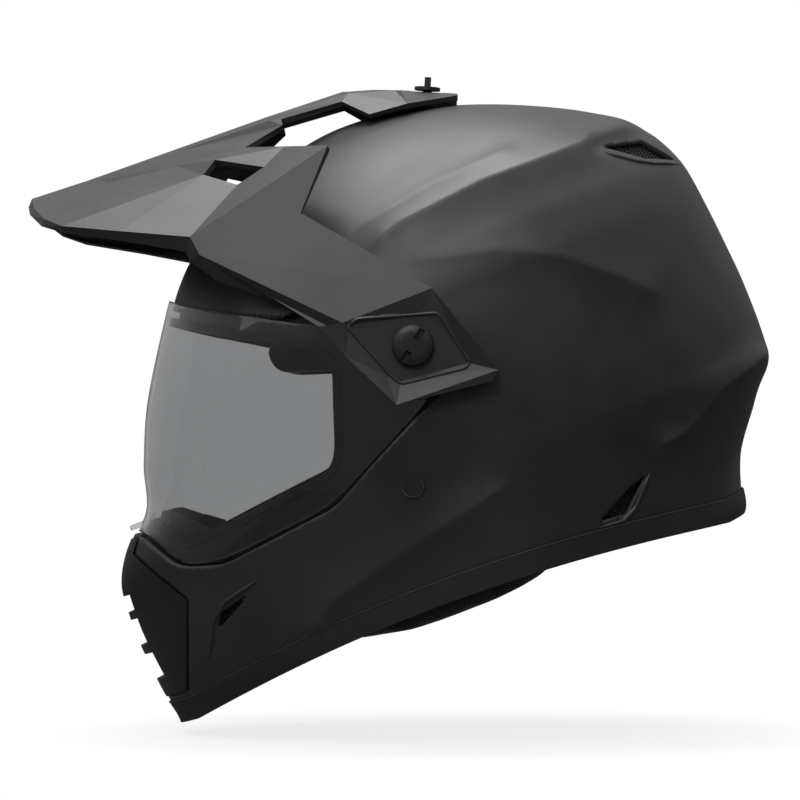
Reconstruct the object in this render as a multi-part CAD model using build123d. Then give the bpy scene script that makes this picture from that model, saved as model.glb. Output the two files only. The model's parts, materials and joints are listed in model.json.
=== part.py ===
"""Dual sport helmet: full-face shell with a peak, a lifting shield and a padded lining.

The helmet stands on its rim. +Z is up, the face looks along -Y and the wearer's left
is +X. The origin is the middle of the footprint, on the ground.
All lengths are in millimetres. Names that end in share or shares hold fractions:
u runs from the chin to the tail, h from the rim to the crown, x over the half width.
"""
from build123d import *
import math
import os

# Overall sizes
HELMET_LENGTH = 367.0
SHELL_HEIGHT = 264.8
HALF_WIDTH = 121.0
OVERRUN = 60.0

# Walls and layers, as depths below the outer surface
SHELL_WALL = 4.0
LAYER_GAP = 0.3
FRAME_SINK = 4.2
FRAME_WALL = 3.4
FOAM_WALL = 30.0
SLIP_WALL = 0.8
COMFORT_WALL = 7.0
CHIN_FOAM_SINK = 5.4
CHIN_FOAM_WALL = 17.0
CHEEK_SINK = 8.2
CHEEK_WALL = 25.0
NECK_SINK = 5.8
NECK_WALL = 16.0
GUARD_SINK = 9.0
GUARD_WALL = 1.8

# Airway in the crown of the padded liner
CROWN_SLOT_WIDTH = 24.0
CROWN_SLOT_LENGTH = 116.0

# Rim and its edge trim
ARCH_RISE = 15.0
ARCH_FRONT = 18.0
ARCH_REAR = 55.0
TRIM_HEIGHT = 12.0
TRIM_LIP = 1.2
TRIM_SOLE = 4.0
TRIM_DEPTH = 5.2
TRIM_FIT = 0.05

# Shield, its turning point and its side plates
PIVOT_U = 190.0
PIVOT_H = 142.1
SHIELD_SINK = 0.8
SHIELD_WALL = 2.2
TAB_WIDTH = 16.0
TAB_HEIGHT = 3.0
TAB_REACH = 9.0
HUB_RADIUS = 8.0
HUB_TOP = 121.1
TURN_FIT = 0.08
PLATE_RADIUS = 17.0
PLATE_BACK = 112.0
PLATE_FRONT = 117.3
PLATE_FIT = 0.15
STEM_RADIUS = 7.0
STEM_BACK = 104.0
SMALL_SCREW_PITCH = 12.5
SMALL_SCREW_RADIUS = 1.5
SMALL_HEAD_RADIUS = 2.8
SMALL_HEAD_DEPTH = 1.6

# Window in the frame and its rubber bead
BEAD_INSET = 0.5
BEAD_WIDTH = 5.0
FRAME_FLANGE = 5.0
POCKET_MARGIN = 1.0

# Screws of the peak
SIDE_SHANK_RADIUS = 4.0
SIDE_SHANK_BACK = 105.0
SIDE_HEAD_RADIUS = 10.5
SIDE_HEAD_HEIGHT = 5.2
SCREW_FIT = 0.06
COIN_SLOT = 3.2
COIN_DEPTH = 2.6
SCREW_HUB_RADIUS = 3.4
PEAK_HOLE_PLAY = 0.5
TOP_SCREW_BACK = 55.2
TOP_SHANK_RADIUS = 2.5
TOP_SHANK_LENGTH = 17.0
TOP_FLANGE_RADIUS = 6.8
TOP_FLANGE_HEIGHT = 1.8
TOP_GRIP_LENGTH = 10.0
TOP_GRIP_WIDTH = 3.4
TOP_GRIP_HEIGHT = 5.0
TOP_SLOT_TRAVEL = 10.4
INSERT_RADIUS = 5.6
INSERT_FLANGE_RADIUS = 8.6
INSERT_DEPTH = 18.0
SEAT_GAP = 0.55
INSERT_GAP = 2.0

# Peak
PEAK_WALL = 3.0
ARM_BACK = 121.6
TAIL_GAP = 3.4

# Vents
MESH_SINK = 2.4
MESH_WALL = 0.9
MESH_FIT = 0.1
HOUSING_PROUD = 0.8
HOUSING_DEPTH = 5.2
HOUSING_FIT = 0.15
MOUTH_HALF_WIDTH = 21.0
MOUTH_LOW = 26.0
MOUTH_HIGH = 60.0
MOUTH_BAR = 5.0
STEP_LOW = 64.0
STEP_HIGH = 73.0
STEP_HALF_WIDTH = 27.0
STEP_DEPTH = 2.6
GRILLE_MARGIN = 4.0
GRILLE_WALL = 1.0
SHUTTER_WALL = 1.4
SHUTTER_HALF_WIDTH = 19.0
SHUTTER_LOW = 29.0
SHUTTER_HIGH = 50.0
LEVER_HALF_WIDTH = 6.0
LEVER_HEIGHT = 4.0
LEVER_REACH = 22.0
SLIDE_GAP = 0.4

# Chin strap, its rivets, rings and pads
RIVET_U = 165.6
RIVET_H = 76.6
RIVET_CAP_RADIUS = 5.6
RIVET_CAP_HEIGHT = 1.0
RIVET_SHANK_RADIUS = 3.0
RIVET_FIT = 0.1
STRAP_WIDTH = 24.0
STRAP_WALL = 1.8
STRAP_SINK = 5.2
STRAP_CROSS_LOW = 62.0
STRAP_INNER = 60.5
STRAP_SHORT_END = 34.0
STRAP_LONG_FOLD = 12.0
STRAP_LONG_END = 56.0
STRAP_SLOT_PLAY = 0.5
SLEEVE_WALL = 2.6
SLEEVE_LOW = 38.0
SLEEVE_HIGH = 59.0
SLEEVE_PLAY = 0.3
RING_WIRE = 1.9
RING_BAR = 26.0
RING_DROP = 20.0
RING_PLAY = 0.08
RING_GAP = 0.9
STUD_RADIUS = 5.0
STUD_HEIGHT = 2.2
SNAP_RADIUS = 5.5
SNAP_END_GAP = 0.1

# Outer surface, one row per level: height, front, rear, half width, widest place,
# then how square the plan is towards the front and towards the rear
FORM_SHARES = (
    (0.0, 0.0202, 0.8817, 0.820, 0.540, 1.75, 2.10),
    (0.106, 0.0080, 0.9062, 0.897, 0.540, 1.75, 2.15),
    (0.204, 0.0029, 0.9553, 0.946, 0.530, 1.76, 2.20),
    (0.294, 0.0072, 0.9970, 0.975, 0.525, 1.80, 2.25),
    (0.362, 0.0360, 0.9985, 0.989, 0.525, 1.92, 2.25),
    (0.430, 0.0800, 0.9975, 0.996, 0.523, 2.06, 2.25),
    (0.510, 0.1050, 0.9930, 1.000, 0.522, 2.18, 2.25),
    (0.604, 0.1356, 0.9860, 0.988, 0.525, 2.25, 2.25),
    (0.680, 0.1688, 0.9780, 0.942, 0.530, 2.25, 2.25),
    (0.754, 0.2035, 0.9560, 0.860, 0.540, 2.25, 2.20),
    (0.798, 0.2251, 0.9300, 0.793, 0.550, 2.20, 2.15),
    (0.852, 0.2605, 0.8788, 0.678, 0.558, 2.10, 2.05),
    (0.906, 0.3160, 0.8038, 0.537, 0.560, 2.05, 2.00),
    (0.957, 0.3940, 0.7100, 0.355, 0.553, 2.00, 2.00),
    (0.988, 0.4674, 0.6278, 0.184, 0.545, 2.00, 2.00),
)
LEVEL_SHARES = (
    0.0, 0.05, 0.10, 0.15, 0.20, 0.25, 0.29, 0.33, 0.37, 0.41, 0.46, 0.51,
    0.56, 0.61, 0.66, 0.71, 0.755, 0.80, 0.845, 0.885, 0.92, 0.95, 0.972, 0.988,
)
APEX_SHARE = 0.540
RING_POINTS = 20
UPRIGHT_SHARE = 0.3

# How far the shield's surface stands outside the shell's: height, front, sides
PROUD_SHARES = (
    (0.392, 0.0, 0.0),
    (0.510, 0.0103, 0.004),
    (0.604, 0.0116, 0.0125),
    (0.680, 0.0130, 0.025),
    (0.754, 0.0130, 0.037),
    (1.000, 0.0130, 0.041),
)

# Side outlines as (u, h)
WINDOW_SHARES = (
    (-0.15, 0.400), (0.085, 0.400), (0.115, 0.325), (0.345, 0.357), (0.368, 0.385),
    (0.412, 0.562), (0.390, 0.603), (0.203, 0.758), (-0.15, 0.758),
)
RECESS_SHARES = (
    (-0.15, 0.385), (0.060, 0.385), (0.102, 0.296), (0.163, 0.270), (0.341, 0.301),
    (0.408, 0.352), (0.538, 0.443), (0.582, 0.515), (0.560, 0.610), (0.480, 0.692),
    (0.360, 0.672), (0.222, 0.775), (-0.15, 0.785),
)
SHIELD_SHARES = (
    (-0.15, 0.392), (0.072, 0.392), (0.108, 0.296), (0.167, 0.280), (0.334, 0.307),
    (0.408, 0.357), (0.515, 0.432), (0.556, 0.478), (0.5685, 0.545), (0.540, 0.600),
    (0.401, 0.636), (0.235, 0.766), (0.213, 0.802), (-0.15, 0.900),
)
FOAM_SHARES = (
    (-0.15, 0.790), (0.200, 0.790), (0.350, 0.668), (0.428, 0.600), (0.436, 0.560),
    (0.430, 0.430), (0.640, 0.430), (0.680, 0.125), (1.150, 0.125), (1.150, 1.150),
    (-0.15, 1.150),
)
SLIP_SHARES = (
    (-0.15, 0.815), (0.210, 0.815), (0.365, 0.690), (0.445, 0.610), (0.450, 0.450),
    (0.650, 0.450), (0.690, 0.150), (1.150, 0.150), (1.150, 1.150), (-0.15, 1.150),
)
COMFORT_SHARES = (
    (-0.15, 0.830), (0.215, 0.830), (0.375, 0.705), (0.455, 0.620), (0.462, 0.470),
    (0.655, 0.470), (0.705, 0.190), (1.150, 0.190), (1.150, 1.150), (-0.15, 1.150),
)
CHIN_FOAM_SHARES = (
    (-0.15, 0.055), (0.040, 0.060), (0.222, 0.075), (0.228, 0.250), (0.150, 0.262),
    (0.100, 0.280), (0.070, 0.310), (-0.15, 0.310),
)
CHEEK_SHARES = (
    (0.245, 0.085), (0.300, 0.045), (0.380, 0.022), (0.500, 0.022), (0.580, 0.036),
    (0.625, 0.080), (0.630, 0.300), (0.600, 0.405), (0.440, 0.410), (0.380, 0.345),
    (0.300, 0.290), (0.240, 0.262),
)
NECK_SHARES = (
    (0.668, 0.045), (0.780, 0.022), (0.940, 0.012), (1.150, 0.012), (1.150, 0.120),
    (0.672, 0.120),
)
GUARD_SHARES = (
    (-0.10, 0.400), (0.080, 0.412), (0.118, 0.404), (0.170, 0.345), (0.150, 0.262),
    (0.100, 0.280), (0.070, 0.310), (-0.10, 0.310),
)
MOUTH_SHARES = (
    (-0.15, 0.410), (0.058, 0.376), (0.043, 0.350), (0.098, 0.231), (0.048, 0.060),
    (-0.15, 0.050),
)
CHIN_VENT_SHARES = ((0.196, 0.208), (0.136, 0.184), (0.106, 0.116), (0.126, 0.156))
TOP_VENT_SHARES = ((0.862, 0.772), (0.925, 0.758), (0.962, 0.700), (0.915, 0.722))
LOW_VENT_SHARES = ((0.672, 0.100), (0.712, 0.094), (0.758, 0.152), (0.728, 0.140))

# Snaps that hold the cheek pads
SNAP_SHARES = ((0.330, 0.150), (0.560, 0.130), (0.520, 0.330))

# Peak corners as (x, u, h), on the wearer's left; the right side mirrors them
PEAK_SHARES = {
    "rim_0": (0.0, 0.080, 1.084), "rim_1": (0.289, 0.085, 1.055),
    "rim_2": (0.512, 0.098, 1.020), "rim_3": (0.645, 0.121, 0.990),
    "rim_4": (0.777, 0.196, 0.938), "rim_5": (0.884, 0.285, 0.878),
    "lip_0": (0.0, 0.071, 1.071), "lip_1": (0.285, 0.076, 1.045),
    "lip_2": (0.505, 0.091, 1.008), "lip_3": (0.632, 0.117, 0.979),
    "lip_4": (0.762, 0.191, 0.922), "lip_5": (0.862, 0.272, 0.855),
    "hood_0": (0.0, 0.168, 1.079), "hood_1": (0.0, 0.305, 1.076),
    "hood_2": (0.0, 0.435, 1.073), "bridge": (0.0, 0.553, 1.067),
    "hood_side_0": (0.055, 0.182, 1.070), "hood_side_1": (0.116, 0.302, 1.066),
    "hood_side_2": (0.165, 0.441, 1.058), "hood_rear": (0.190, 0.456, 1.040),
    "trough_0": (0.107, 0.191, 1.057), "trough_1": (0.264, 0.293, 1.036),
    "trough_2": (0.430, 0.396, 1.016), "inner_rear": (0.579, 0.449, 0.986),
    "fin_tip": (0.785, 0.505, 0.952), "hole_a": (0.661, 0.412, 0.960),
    "hole_b": (0.694, 0.369, 0.945), "hole_c": (0.595, 0.329, 0.989),
    "hole_d": (0.512, 0.351, 1.011), "crease": (0.909, 0.289, 0.839),
    "fin_low": (0.893, 0.438, 0.847), "arm_up": (1.040, 0.569, 0.625),
    "arm_rear": (1.070, 0.614, 0.438), "arm_foot": (1.066, 0.602, 0.422),
    "arm_low": (1.070, 0.469, 0.443), "arm_left": (1.050, 0.427, 0.563),
    "arm_top": (1.045, 0.439, 0.623), "edge_0": (0.870, 0.273, 0.834),
    "edge_1": (0.885, 0.298, 0.782), "edge_2": (0.945, 0.393, 0.672),
    "edge_3": (0.985, 0.407, 0.632), "rec_a": (1.033, 0.447, 0.613),
    "rec_b": (1.033, 0.548, 0.590), "rec_c": (1.033, 0.581, 0.469),
    "rec_d": (1.033, 0.486, 0.482), "rec_e": (1.033, 0.470, 0.500),
    "win_front": (0.132, 0.457, 1.054), "win_rear": (0.149, 0.547, 1.044),
    "tail_front": (0.248, 0.577, 0.998), "tail_top": (0.116, 0.560, 1.056),
    "tail_mid": (0.124, 0.624, 1.0285), "tail_c0": (0.0, 0.597, 1.049),
    "tail_c1": (0.0, 0.633, 1.0293), "tail_c2": (0.0, 0.708, 0.9833),
    "tail_side": (0.231, 0.634, 0.992), "tail_end": (0.120, 0.706, 0.976),
}

# Peak facets on one side, each walked in order and fanned from its first corner
PEAK_FACETS = (
    ("lip_0", "rim_0", "rim_1", "lip_1"), ("lip_1", "rim_1", "rim_2", "lip_2"),
    ("lip_2", "rim_2", "rim_3", "lip_3"), ("lip_3", "rim_3", "rim_4", "lip_4"),
    ("lip_4", "rim_4", "rim_5", "lip_5"), ("lip_5", "rim_5", "crease", "edge_0"),
    ("rim_0", "hood_0", "hood_side_0", "trough_0", "rim_1"),
    ("rim_1", "trough_0", "trough_1", "rim_2"),
    ("rim_2", "trough_1", "hole_c", "rim_3"), ("rim_3", "hole_c", "rim_4"),
    ("rim_4", "hole_c", "hole_b", "rim_5"), ("trough_1", "hole_d", "hole_c"),
    ("trough_1", "trough_2", "hole_d"), ("trough_2", "inner_rear", "hole_d"),
    ("inner_rear", "hole_a", "hole_d"), ("inner_rear", "fin_tip", "hole_a"),
    ("hole_a", "fin_tip", "hole_b"), ("hole_b", "fin_tip", "rim_5"),
    ("hood_0", "hood_1", "hood_side_1", "hood_side_0"),
    ("hood_side_0", "hood_side_1", "trough_1", "trough_0"),
    ("hood_side_1", "hood_side_2", "hood_rear", "trough_2", "trough_1"),
    ("hood_1", "hood_2", "win_front", "hood_side_2", "hood_side_1"),
    ("hood_side_2", "win_front", "hood_rear"),
    ("hood_2", "bridge", "tail_top", "win_rear", "win_front"),
    ("bridge", "tail_c0", "tail_mid", "tail_top"),
    ("tail_c0", "tail_c1", "tail_mid"),
    ("win_rear", "tail_top", "tail_front"), ("tail_top", "tail_mid", "tail_side", "tail_front"),
    ("rim_5", "fin_tip", "fin_low", "crease"), ("crease", "fin_low", "arm_up"),
    ("crease", "arm_up", "arm_top", "edge_3", "edge_2"), ("crease", "edge_2", "edge_1", "edge_0"),
    ("arm_up", "arm_rear", "rec_c", "rec_b"), ("arm_top", "arm_up", "rec_b", "rec_a"),
    ("arm_left", "arm_top", "rec_a", "rec_e"), ("arm_low", "arm_left", "rec_e", "rec_d"),
    ("arm_rear", "arm_foot", "arm_low", "rec_d", "rec_c"), ("edge_3", "arm_top", "arm_left"),
    ("rec_a", "rec_b", "rec_c", "rec_d", "rec_e"),
    ("tail_c1", "tail_c2", "tail_end", "tail_side", "tail_mid"),
)
ARM_CORNERS = (
    "arm_up", "arm_rear", "arm_foot", "arm_low", "arm_left", "arm_top",
    "rec_a", "rec_b", "rec_c", "rec_d", "rec_e", "edge_3",
)

# Places worked out from the sizes above
PIVOT_Y = PIVOT_U - HELMET_LENGTH / 2
FRAME_DEPTH = FRAME_SINK + FRAME_WALL
FOAM_SINK = SHELL_WALL + LAYER_GAP
FOAM_DEPTH = FOAM_SINK + FOAM_WALL
SLIP_SINK = FOAM_DEPTH + LAYER_GAP
SLIP_DEPTH = SLIP_SINK + SLIP_WALL
COMFORT_SINK = SLIP_DEPTH + LAYER_GAP
COMFORT_DEPTH = COMFORT_SINK + COMFORT_WALL
REACH = HALF_WIDTH + OVERRUN
_forms = {}


def place(u, h):
    """Side-view shares to (y, z)."""
    return (u - 1 / 2) * HELMET_LENGTH, h * SHELL_HEIGHT


def signed_power(value, power):
    """A power that keeps the sign of its base."""
    return math.copysign(abs(value) ** power, value)


def slope(rows, i, column):
    """Slope of one column at row i of a share table, flat where the column turns."""
    last = len(rows) - 1
    if i in (0, last):
        low, high = (rows[0], rows[1]) if i == 0 else (rows[last - 1], rows[last])
        return (high[column] - low[column]) / (high[0] - low[0])
    before = rows[i][0] - rows[i - 1][0]
    after = rows[i + 1][0] - rows[i][0]
    rise = (rows[i][column] - rows[i - 1][column]) / before
    climb = (rows[i + 1][column] - rows[i][column]) / after
    if rise * climb <= 0:
        return 0
    return 3 * (before + after) / ((2 * after + before) / rise + (after + 2 * before) / climb)


def between(rows, h):
    """Row of a share table at height h, by a smooth curve that never overshoots."""
    if h <= rows[0][0]:
        return rows[0][1:]
    if h >= rows[-1][0]:
        return rows[-1][1:]
    i = max(k for k in range(len(rows) - 1) if rows[k][0] <= h)
    low, high = rows[i], rows[i + 1]
    step = high[0] - low[0]
    t = (h - low[0]) / step
    values = []
    for c in range(1, len(low)):
        bend = (t ** 3 - 2 * t ** 2 + t) * slope(rows, i, c) + (t ** 3 - t ** 2) * slope(rows, i + 1, c)
        values.append(low[c] + (3 * t ** 2 - 2 * t ** 3) * (high[c] - low[c]) + step * bend)
    return values


def surface_rings(lens):
    """Rings on the outer surface: each point with its level direction outwards."""
    rings = []
    for h in LEVEL_SHARES:
        front, rear, half, widest, front_power, rear_power = between(FORM_SHARES, h)
        if lens:
            forward, aside = between(PROUD_SHARES, h)
            front -= forward
            half += aside
        ring = []
        for k in range(RING_POINTS):
            turn = 2 * math.pi * k / RING_POINTS
            power = front_power if math.sin(turn) < 0 else rear_power
            reach = widest - front if math.sin(turn) < 0 else rear - widest
            u = widest + reach * signed_power(math.sin(turn), 2 / power)
            x = half * HALF_WIDTH * signed_power(math.cos(turn), 2 / power)
            y, z = place(u, h)
            level = Vector(math.cos(turn) / (half * HALF_WIDTH), math.sin(turn) / (reach * HELMET_LENGTH), 0)
            ring.append((Vector(x, y, z), level.normalized()))
        rings.append(ring)
    return rings


def form(depth, lens=False):
    """Closed solid inside the outer surface, sunk by depth along smoothed normals."""
    if (depth, lens) in _forms:
        return _forms[(depth, lens)]
    rings = surface_rings(lens)
    apex_y, apex_z = place(APEX_SHARE, 1)
    apex = Vector(0, apex_y, apex_z)
    wires = []
    marks = [k / RING_POINTS for k in range(RING_POINTS + 1)]
    for i, ring in enumerate(rings):
        points = []
        for k, (point, level) in enumerate(ring):
            above = rings[i + 1][k][0] if i + 1 < len(rings) else apex
            below = rings[i - 1][k][0] if i else point
            along = ring[(k + 1) % RING_POINTS][0] - ring[k - 1][0]
            rise = along.cross(above - below).normalized().Z * min(1, LEVEL_SHARES[i] / UPRIGHT_SHARE)
            normal = level * math.sqrt(1 - rise ** 2) + Vector(0, 0, rise)
            points.append(point - normal * depth)
        wires.append(Wire([Edge.make_spline(points, periodic=True, parameters=marks)]))
    solid = Solid.make_loft(wires + [Vertex(0, apex_y, apex_z - depth)], ruled=False)
    _forms[(depth, lens)] = solid
    return solid


def skin(outer, inner, region, lens=False):
    """Part of a region that lies between two depths below the outer surface."""
    return (region & form(outer, lens)) - form(inner, lens)


def grown(points, distance):
    """Corners of a closed outline moved outwards by a distance along both edges."""
    area = sum(a[0] * b[1] - b[0] * a[1] for a, b in zip(points, points[1:] + points[:1]))
    turn = distance if area > 0 else -distance
    moved = []
    for before, here, after in zip(points[-1:] + points[:-1], points, points[1:] + points[:1]):
        normals = []
        for start, end in ((before, here), (here, after)):
            along = (end[0] - start[0], end[1] - start[1])
            size = math.hypot(*along)
            normals.append((along[1] / size, -along[0] / size))
        (ax, ay), (bx, by) = normals
        reach = turn / (1 + ax * bx + ay * by)
        moved.append((here[0] + (ax + bx) * reach, here[1] + (ay + by) * reach))
    return moved


def outline(shares, grow=0):
    """Side outline as a face on the middle plane, grown or shrunk by a distance."""
    corners = grown([place(u, h) for u, h in shares], grow)
    return Face(Wire.make_polygon([Vector(0, y, z) for y, z in corners], close=True))


def slab(face, start, end):
    """A side outline carried straight across from one x to another."""
    return Solid.extrude(face.moved(Location((start, 0, 0))), Vector(end - start, 0, 0))


def across(shares, grow=0):
    """A side outline carried through the whole width."""
    return slab(outline(shares, grow), -REACH, REACH)


def one_side(shares, side, grow=0):
    """A side outline carried outwards from the middle plane on one side."""
    return slab(outline(shares, grow), 0, side * REACH)


def block(x, y, z):
    """Box between pairs of coordinates."""
    size = (abs(x[1] - x[0]), y[1] - y[0], z[1] - z[0])
    middle = Location(((x[0] + x[1]) / 2, (y[0] + y[1]) / 2, (z[0] + z[1]) / 2))
    return middle * Box(*size)


def rod(side, radius, start, end, y, z):
    """Cylinder along X on one side, between two distances from the middle plane."""
    plane = Plane(origin=(side * start, y, z), x_dir=(0, 1, 0), z_dir=(side, 0, 0))
    return plane * Cylinder(radius, end - start, align=(Align.CENTER, Align.CENTER, Align.MIN))


def below_rim(lift):
    """Everything under the rim line when that line is lifted."""
    front = Vector(0, ARCH_FRONT - HELMET_LENGTH / 2, lift)
    rear = Vector(0, HELMET_LENGTH / 2 - ARCH_REAR, lift)
    crown = Vector(0, (front.Y + rear.Y) / 2, ARCH_RISE + lift)
    far = HELMET_LENGTH
    corners = [rear, Vector(0, far, lift), Vector(0, far, -far), Vector(0, -far, -far)]
    corners += [Vector(0, -far, lift), front]
    edges = [Edge.make_three_point_arc(front, crown, rear)]
    edges += [Edge.make_line(a, b) for a, b in zip(corners, corners[1:])]
    return slab(Face(Wire(edges)), -REACH, REACH)


def frame_pocket():
    """Room behind the shell for the flange of the eye port frame."""
    region = across(RECESS_SHARES, FRAME_FLANGE + POCKET_MARGIN)
    return skin(SHELL_WALL - LAYER_GAP, FRAME_DEPTH + LAYER_GAP, region)


def outer_shell():
    """Moulded shell, open at the face, the base, the chin, the vents and the rivets."""
    screw_way = top_axis() * Cylinder(INSERT_RADIUS + PLATE_FIT, OVERRUN * 2)
    body = form(0).cut(across(RECESS_SHARES), below_rim(TRIM_SOLE), across(MOUTH_SHARES), screw_way)
    cutters = []
    for side in (1, -1):
        cutters.append(rivet_hole(side))
        for shares in (CHIN_VENT_SHARES, TOP_VENT_SHARES, LOW_VENT_SHARES):
            cutters.append(one_side(shares, side))
    return (body - form(SHELL_WALL)).cut(*cutters)


def base_trim():
    """Rubber edge trim: a channel round the rim with the shell's edge in its slot."""
    rim = below_rim(TRIM_HEIGHT) - below_rim(0)
    channel = below_rim(TRIM_HEIGHT + OVERRUN) - below_rim(TRIM_SOLE - TRIM_FIT)
    slot = skin(-TRIM_FIT, SHELL_WALL + TRIM_FIT, channel)
    return (rim & form(-TRIM_LIP)).cut(form(TRIM_DEPTH), slot)


def eyeport_frame():
    """Moulded frame sunk in the shell's opening; the shield closes on it."""
    region = across(RECESS_SHARES, FRAME_FLANGE) - across(WINDOW_SHARES)
    for side in (1, -1):
        region -= rod(side, PLATE_RADIUS + PLATE_FIT, 0, REACH, PIVOT_Y, PIVOT_H)
    return skin(FRAME_SINK, FRAME_DEPTH, region)


def eyeport_gasket():
    """Rubber bead round the window, just short of the shield's back."""
    back = SHIELD_SINK + SHIELD_WALL + LAYER_GAP
    region = across(WINDOW_SHARES, BEAD_WIDTH) & across(RECESS_SHARES, -BEAD_INSET)
    region -= across(WINDOW_SHARES, BEAD_INSET)
    return (region & form(back, lens=True)) - form(FRAME_SINK)


def foam_liner():
    """Crown and rear of the impact foam, with an airway and room for frame and screws."""
    cutters = [form(FOAM_DEPTH), frame_pocket()]
    for side in (1, -1):
        cutters.append(rod(side, PLATE_RADIUS + LAYER_GAP, STEM_BACK - LAYER_GAP, REACH, PIVOT_Y, PIVOT_H))
    screw_way = top_axis() * Cylinder(INSERT_RADIUS + PLATE_FIT, INSERT_DEPTH * 2)
    y, z = place(APEX_SHARE, 1)
    crown_airway = Pos(0, y, z) * Cylinder(CROWN_SLOT_WIDTH / 2, z)
    return ((across(FOAM_SHARES) - screw_way - crown_airway) & form(FOAM_SINK)).cut(*cutters)


def crown_slot():
    """Airway through the padded liner along the top of the head."""
    y, z = place(APEX_SHARE, 1)
    half = CROWN_SLOT_WIDTH / 2
    reach = CROWN_SLOT_LENGTH / 2
    return block((-half, half), (y - reach, y + reach), (z / 2, z * 2))


def slip_liner():
    """Thin low-friction shell between the foam and the comfort liner."""
    return skin(SLIP_SINK, SLIP_DEPTH, across(SLIP_SHARES))


def comfort_liner():
    """Padded crown liner."""
    return skin(COMFORT_SINK, COMFORT_DEPTH, across(COMFORT_SHARES) - crown_slot())


def chin_bar_foam():
    """Foam of the chin bar, with a duct and a slot for the vent's lever."""
    half = MOUTH_HALF_WIDTH + GRILLE_MARGIN + LAYER_GAP
    low, high = MOUTH_LOW - GRILLE_MARGIN, MOUTH_HIGH + GRILLE_MARGIN
    front = (-HELMET_LENGTH, 0)
    room = GRILLE_WALL + SHUTTER_WALL + LAYER_GAP * 3 + SLIDE_GAP * 3
    pocket = block((-half, half), front, (low - LAYER_GAP, high + LAYER_GAP)) - form(HOUSING_DEPTH + room)
    duct_half = SHUTTER_HALF_WIDTH - GRILLE_MARGIN
    duct = block((-duct_half, duct_half), front, (SHUTTER_LOW + GRILLE_MARGIN, MOUTH_HIGH - LAYER_GAP))
    bar_foam = across(CHIN_FOAM_SHARES) & form(CHIN_FOAM_SINK)
    return bar_foam.cut(form(CHIN_FOAM_SINK + CHIN_FOAM_WALL), frame_pocket(), pocket, duct)


def cheek_pad(side):
    """Cheek pad with the slot that the chin strap comes through."""
    low = STRAP_CROSS_LOW - STRAP_SLOT_PLAY
    high = STRAP_CROSS_LOW + STRAP_WALL + STRAP_SLOT_PLAY
    region = one_side(CHEEK_SHARES, side) - block((-REACH, REACH), strap_span(STRAP_SLOT_PLAY), (low, high))
    return skin(CHEEK_SINK, CHEEK_SINK + CHEEK_WALL, region)


def neck_roll():
    """Padded roll along the rear rim."""
    return skin(NECK_SINK, NECK_SINK + NECK_WALL, across(NECK_SHARES))


def breath_guard():
    """Flexible guard that stands up behind the lower edge of the window."""
    return skin(GUARD_SINK, GUARD_SINK + GUARD_WALL, across(GUARD_SHARES))


def mouth_vent_housing():
    """Front of the chin bar, stepped, with a barred opening."""
    front = (-HELMET_LENGTH, 0)
    region = across(MOUTH_SHARES, -HOUSING_FIT) - below_rim(TRIM_HEIGHT + LAYER_GAP)
    middle = (MOUTH_LOW + MOUTH_HIGH - MOUTH_BAR) / 2
    for low, high in ((MOUTH_LOW, middle), (middle + MOUTH_BAR, MOUTH_HIGH)):
        region -= block((-MOUTH_HALF_WIDTH, MOUTH_HALF_WIDTH), front, (low, high))
    step = block((-STEP_HALF_WIDTH, STEP_HALF_WIDTH), front, (STEP_LOW, STEP_HIGH)) - form(STEP_DEPTH)
    return (region & form(-HOUSING_PROUD)).cut(form(HOUSING_DEPTH), step, frame_pocket())


def mouth_vent_mesh():
    """Dust screen behind the opening of the housing."""
    half = MOUTH_HALF_WIDTH + GRILLE_MARGIN
    start = HOUSING_DEPTH + LAYER_GAP
    height = (MOUTH_LOW - GRILLE_MARGIN, MOUTH_HIGH + GRILLE_MARGIN)
    return skin(start, start + GRILLE_WALL, block((-half, half), (-HELMET_LENGTH, 0), height))


def mouth_vent_shutter():
    """Sliding shutter behind the screen, worked by a lever inside the chin bar."""
    start = HOUSING_DEPTH + LAYER_GAP + GRILLE_WALL + SLIDE_GAP
    half = SHUTTER_HALF_WIDTH
    window = block((-half, half), (-HELMET_LENGTH, 0), (SHUTTER_LOW, SHUTTER_HIGH))
    low = SHUTTER_LOW + GRILLE_MARGIN + LAYER_GAP
    reach = (-HELMET_LENGTH, LEVER_REACH - HELMET_LENGTH / 2 + start)
    lever = block((-LEVER_HALF_WIDTH, LEVER_HALF_WIDTH), reach, (low, low + LEVER_HEIGHT))
    return skin(start, start + SHUTTER_WALL, window) + (lever & form(start))


def vent_mesh(shares, side):
    """Dust screen set in one of the shell's side vents."""
    return skin(MESH_SINK, MESH_SINK + MESH_WALL, one_side(shares, side, -MESH_FIT))


def pivot_plate(side):
    """Plate that carries the shield's eye on its hub and takes the peak's screw."""
    plate = rod(side, PLATE_RADIUS, PLATE_BACK, PLATE_FRONT, PIVOT_Y, PIVOT_H)
    plate += rod(side, HUB_RADIUS, PLATE_FRONT, HUB_TOP, PIVOT_Y, PIVOT_H)
    plate += rod(side, STEM_RADIUS, STEM_BACK, PLATE_BACK, PIVOT_Y, PIVOT_H)
    plate -= rod(side, SIDE_SHANK_RADIUS + SCREW_FIT, 0, REACH, PIVOT_Y, PIVOT_H)
    for up in (1, -1):
        z = PIVOT_H + up * SMALL_SCREW_PITCH
        plate -= rod(side, SMALL_SCREW_RADIUS + TRIM_FIT, 0, REACH, PIVOT_Y, z)
        seat = PLATE_FRONT - SMALL_HEAD_DEPTH - TRIM_FIT
        plate -= rod(side, SMALL_HEAD_RADIUS + TRIM_FIT, seat, REACH, PIVOT_Y, z)
    return plate


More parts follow.
